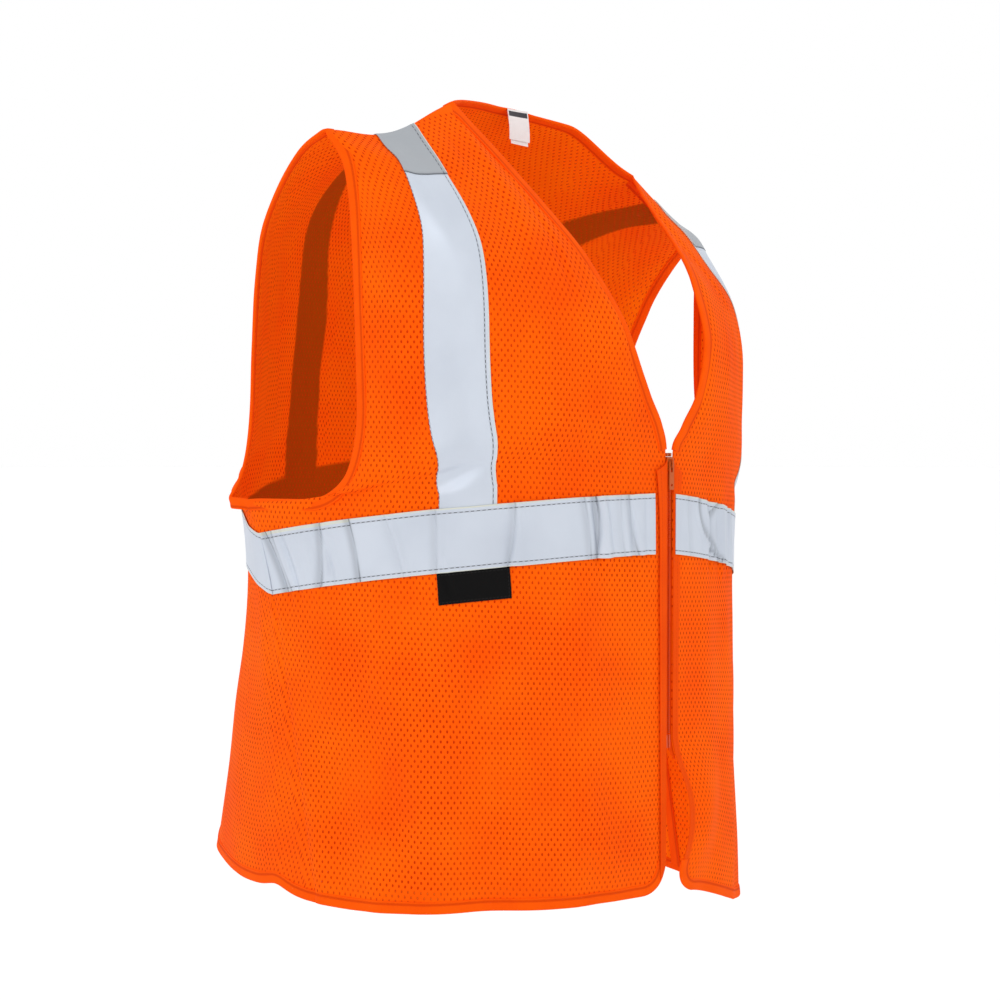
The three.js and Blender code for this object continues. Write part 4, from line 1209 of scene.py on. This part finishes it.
bpy.ops.object.select_all(action="DESELECT")
bpy.ops.mesh.primitive_ico_sphere_add(subdivisions=2, radius=1)
bead = bpy.context.object
bead_points = np.array([vertex.co for vertex in bead.data.vertices]) * np.array(TOOTH_HALF) * MM
bead_faces = np.array([face.vertices for face in bead.data.polygons])
bpy.data.objects.remove(bead)

for side, sign in SIDES.items():
    low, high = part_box(side + "_zip_teeth")
    middle = (low + high) / 2
    count = int((high.z - low.z) / (TOOTH_PITCH * MM)) - 1
    start = low.z + (FIRST_TOOTH + (TOOTH_PITCH / 2 if side == "left" else 0)) * MM
    points, faces = [], []
    for i in range(count):
        points.append(bead_points + np.array([middle.x, middle.y, start + i * TOOTH_PITCH * MM]))
        faces.append(bead_faces + i * len(bead_points))
    mesh = bpy.data.meshes.new(side + "_zip_coil")
    mesh.from_pydata(np.concatenate(points).tolist(), [], np.concatenate(faces).tolist())
    mesh.shade_smooth()
    coil = bpy.data.objects.new(side + "_zip_coil", mesh)
    bpy.context.scene.collection.objects.link(coil)
    coil.data.materials.append(nylon.material)
    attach(coil, side + "_front")
    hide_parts(side + "_zip_teeth")

FITTINGS = {"slider_body": paint, "pull_tab": paint, "right_top_stop": paint, "left_top_stop": paint,
            "retainer_box": nylon, "fixed_pin": nylon, "insertion_pin": nylon}
for name, finish in FITTINGS.items():
    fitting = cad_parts[name]
    if not fitting.material_slots:
        fitting.data.materials.append(finish.material)
    for material_slot in fitting.material_slots:
        material_slot.material = finish.material

# ---------------------------------------------------------------------------
# Labels: two white woven labels hang inside the back neck from its binding, the front one
# with a black band at its top, and a plain black patch is sewn under the right waist tape.
LABEL_HALF_WIDTH = 13
LABEL_TOP = 11
LABEL_DROP = 28
LABEL_BAND = (0.0215, 0.0262)
BACK_NECK_Y = -48

label_white = Finish("white_label_satin", Roughness=0.5, Sheen_Weight=0.2)
label_across, label_along = label_white.cloth_place()
satin = ((label_along * (2 * math.pi / 0.0006)).math("SINE") * 0.5 + 0.5)
black_band = (label_along > LABEL_BAND[0]) * (label_along < LABEL_BAND[1])
border = 1 - label_across.least(2 * LABEL_HALF_WIDTH * MM - label_across).ramp(0.0009, 0.0012)
label_colour = label_white.mix(satin * 0.5, colour(242, 238, 236), colour(226, 220, 220))
label_colour = label_white.mix(black_band * (1 - border), label_colour, colour(28, 24, 34))
label_white.set("Base Color", label_colour)
label_white.bump(satin, 0.0001, 0.5)


def hanging_label(name, node, top, drop, half, inset, seed):
    """A small label caught in the neck binding, hanging free with a slight curl."""
    a, b = np.meshgrid(np.linspace(-1, 1, 13), np.linspace(0, 1, 25), indexing="ij")
    curl = 1.2 * np.sin(2.6 * b + seed) + 0.9 * a**2 * b
    y = BACK_NECK_Y - SHOULDER_Y - inset - 3 * (1 - b) - curl
    z = top - drop * (1 - b) - 0.5 * a * (1 - b)
    face = np.stack([half * a + 1.0 * np.sin(seed) * (1 - b), y, z], -1) * MM
    place = np.stack([(a + 1) * half, b * drop], -1) * MM
    label = closed_sheet(name, face, face + np.array([0, 0.4, 0]) * MM, place)
    label.data.materials.append(label_white.material)
    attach(label, "back")
    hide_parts(node)
    return label


hanging_label("size_label_hung", "size_label", LABEL_TOP, LABEL_DROP, LABEL_HALF_WIDTH, 2.6, 0.4)
hanging_label("care_label_hung", "care_label", LABEL_TOP - 0.5, LABEL_DROP + 3, LABEL_HALF_WIDTH - 2,
              1.4, 1.3)

PATCH_SIZE = (0.0255, 0.0615)
PATCH_U = (0.40, 0.565)
PATCH_SHOWING = 26.5
PATCH_TUCK = 1
WEAVE_PITCH = 0.0007

patch_black = Finish("black_patch_weave", Roughness=0.85, Specular_IOR_Level=0.15)
patch_across, patch_along = patch_black.cloth_place()
thread_turn = 2 * math.pi / WEAVE_PITCH
warp = (patch_across * thread_turn).math("SINE") * (patch_along * thread_turn).math("SINE")
patch_edge = patch_across.least(PATCH_SIZE[0] - patch_across)
patch_edge = patch_edge.least(patch_along).least(PATCH_SIZE[1] - patch_along)
sewn_round = 1 - ((patch_edge - 0.0018).size()).ramp(0.0002, 0.0004)
sewn_round = sewn_round * (((patch_across + patch_along) / 0.0030).frac() < 0.6)
patch_colour = patch_black.mix(warp * 0.5 + 0.5, colour(5, 4, 5), colour(14, 13, 13))
patch_black.set("Base Color", patch_black.mix(sewn_round * 0.5, patch_colour, colour(46, 43, 43)))
patch_black.bump(warp * 0.4 + sewn_round, 0.0003, 0.6)

cloth = fronts["right"]
patch_us, patch_rise = np.meshgrid(np.linspace(*PATCH_U, 25), np.linspace(0, 1, 9), indexing="xy")
patch_top = waist_top_front(patch_us) - TAPE_WIDTH + PATCH_TUCK
patch_rows = cloth.row_for(patch_us, patch_top - PATCH_SHOWING * (1 - patch_rise))
patch = ribbon("black_patch_sewn", cloth, patch_us, patch_rows, BRACE_FACES, patch_black)
blend_front(patch, "right")
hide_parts("chest_patch")

# ---------------------------------------------------------------------------
# Inside pocket: a patch of the same knit behind the right front, sewn along its inner and
# upper edges, and the seams: overlocked strips inside the side and shoulder seams.
POCKET_FACES = (-1.6, -1.0)
POCKET_LOW_ROW = 0.12
SEAM_FACES = (-1.5, -0.5)
SEAM_ROWS = 0.13

pocket_us, rise = np.meshgrid(np.linspace(*POCKET_U, 121), np.linspace(0, 1, 61), indexing="ij")
pocket_high = cloth.row_for(pocket_us, pocket_top(pocket_us))
pocket_rows = POCKET_LOW_ROW + (pocket_high - POCKET_LOW_ROW) * rise
pocket = ribbon("inside_pocket_sewn", cloth, pocket_us, pocket_rows, POCKET_FACES, mesh_knit)
blend_front(pocket, "right")
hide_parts("inside_pocket")

for side, sign in SIDES.items():
    width, ts = np.meshgrid(np.linspace(0.978, 0.999, 5), np.linspace(0.03, UNDERARM_ROW - 0.05, 120),
                            indexing="ij")
    seam = ribbon(side + "_side_seam_overlocked", back_cloth, sign * width, ts, SEAM_FACES, trim)
    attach(seam, "back")
    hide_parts(side + "_side_seam")
    us, depth = np.meshgrid(np.linspace(NECK_SHARE + 0.01, 0.99, 60), np.linspace(0, 1, 5), indexing="xy")
    seam = ribbon(side + "_shoulder_seam_overlocked", back_cloth, sign * us, TOP_ROW - SEAM_ROWS * depth,
                  SEAM_FACES, trim)
    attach(seam, "back")
    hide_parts(side + "_shoulder_seam")
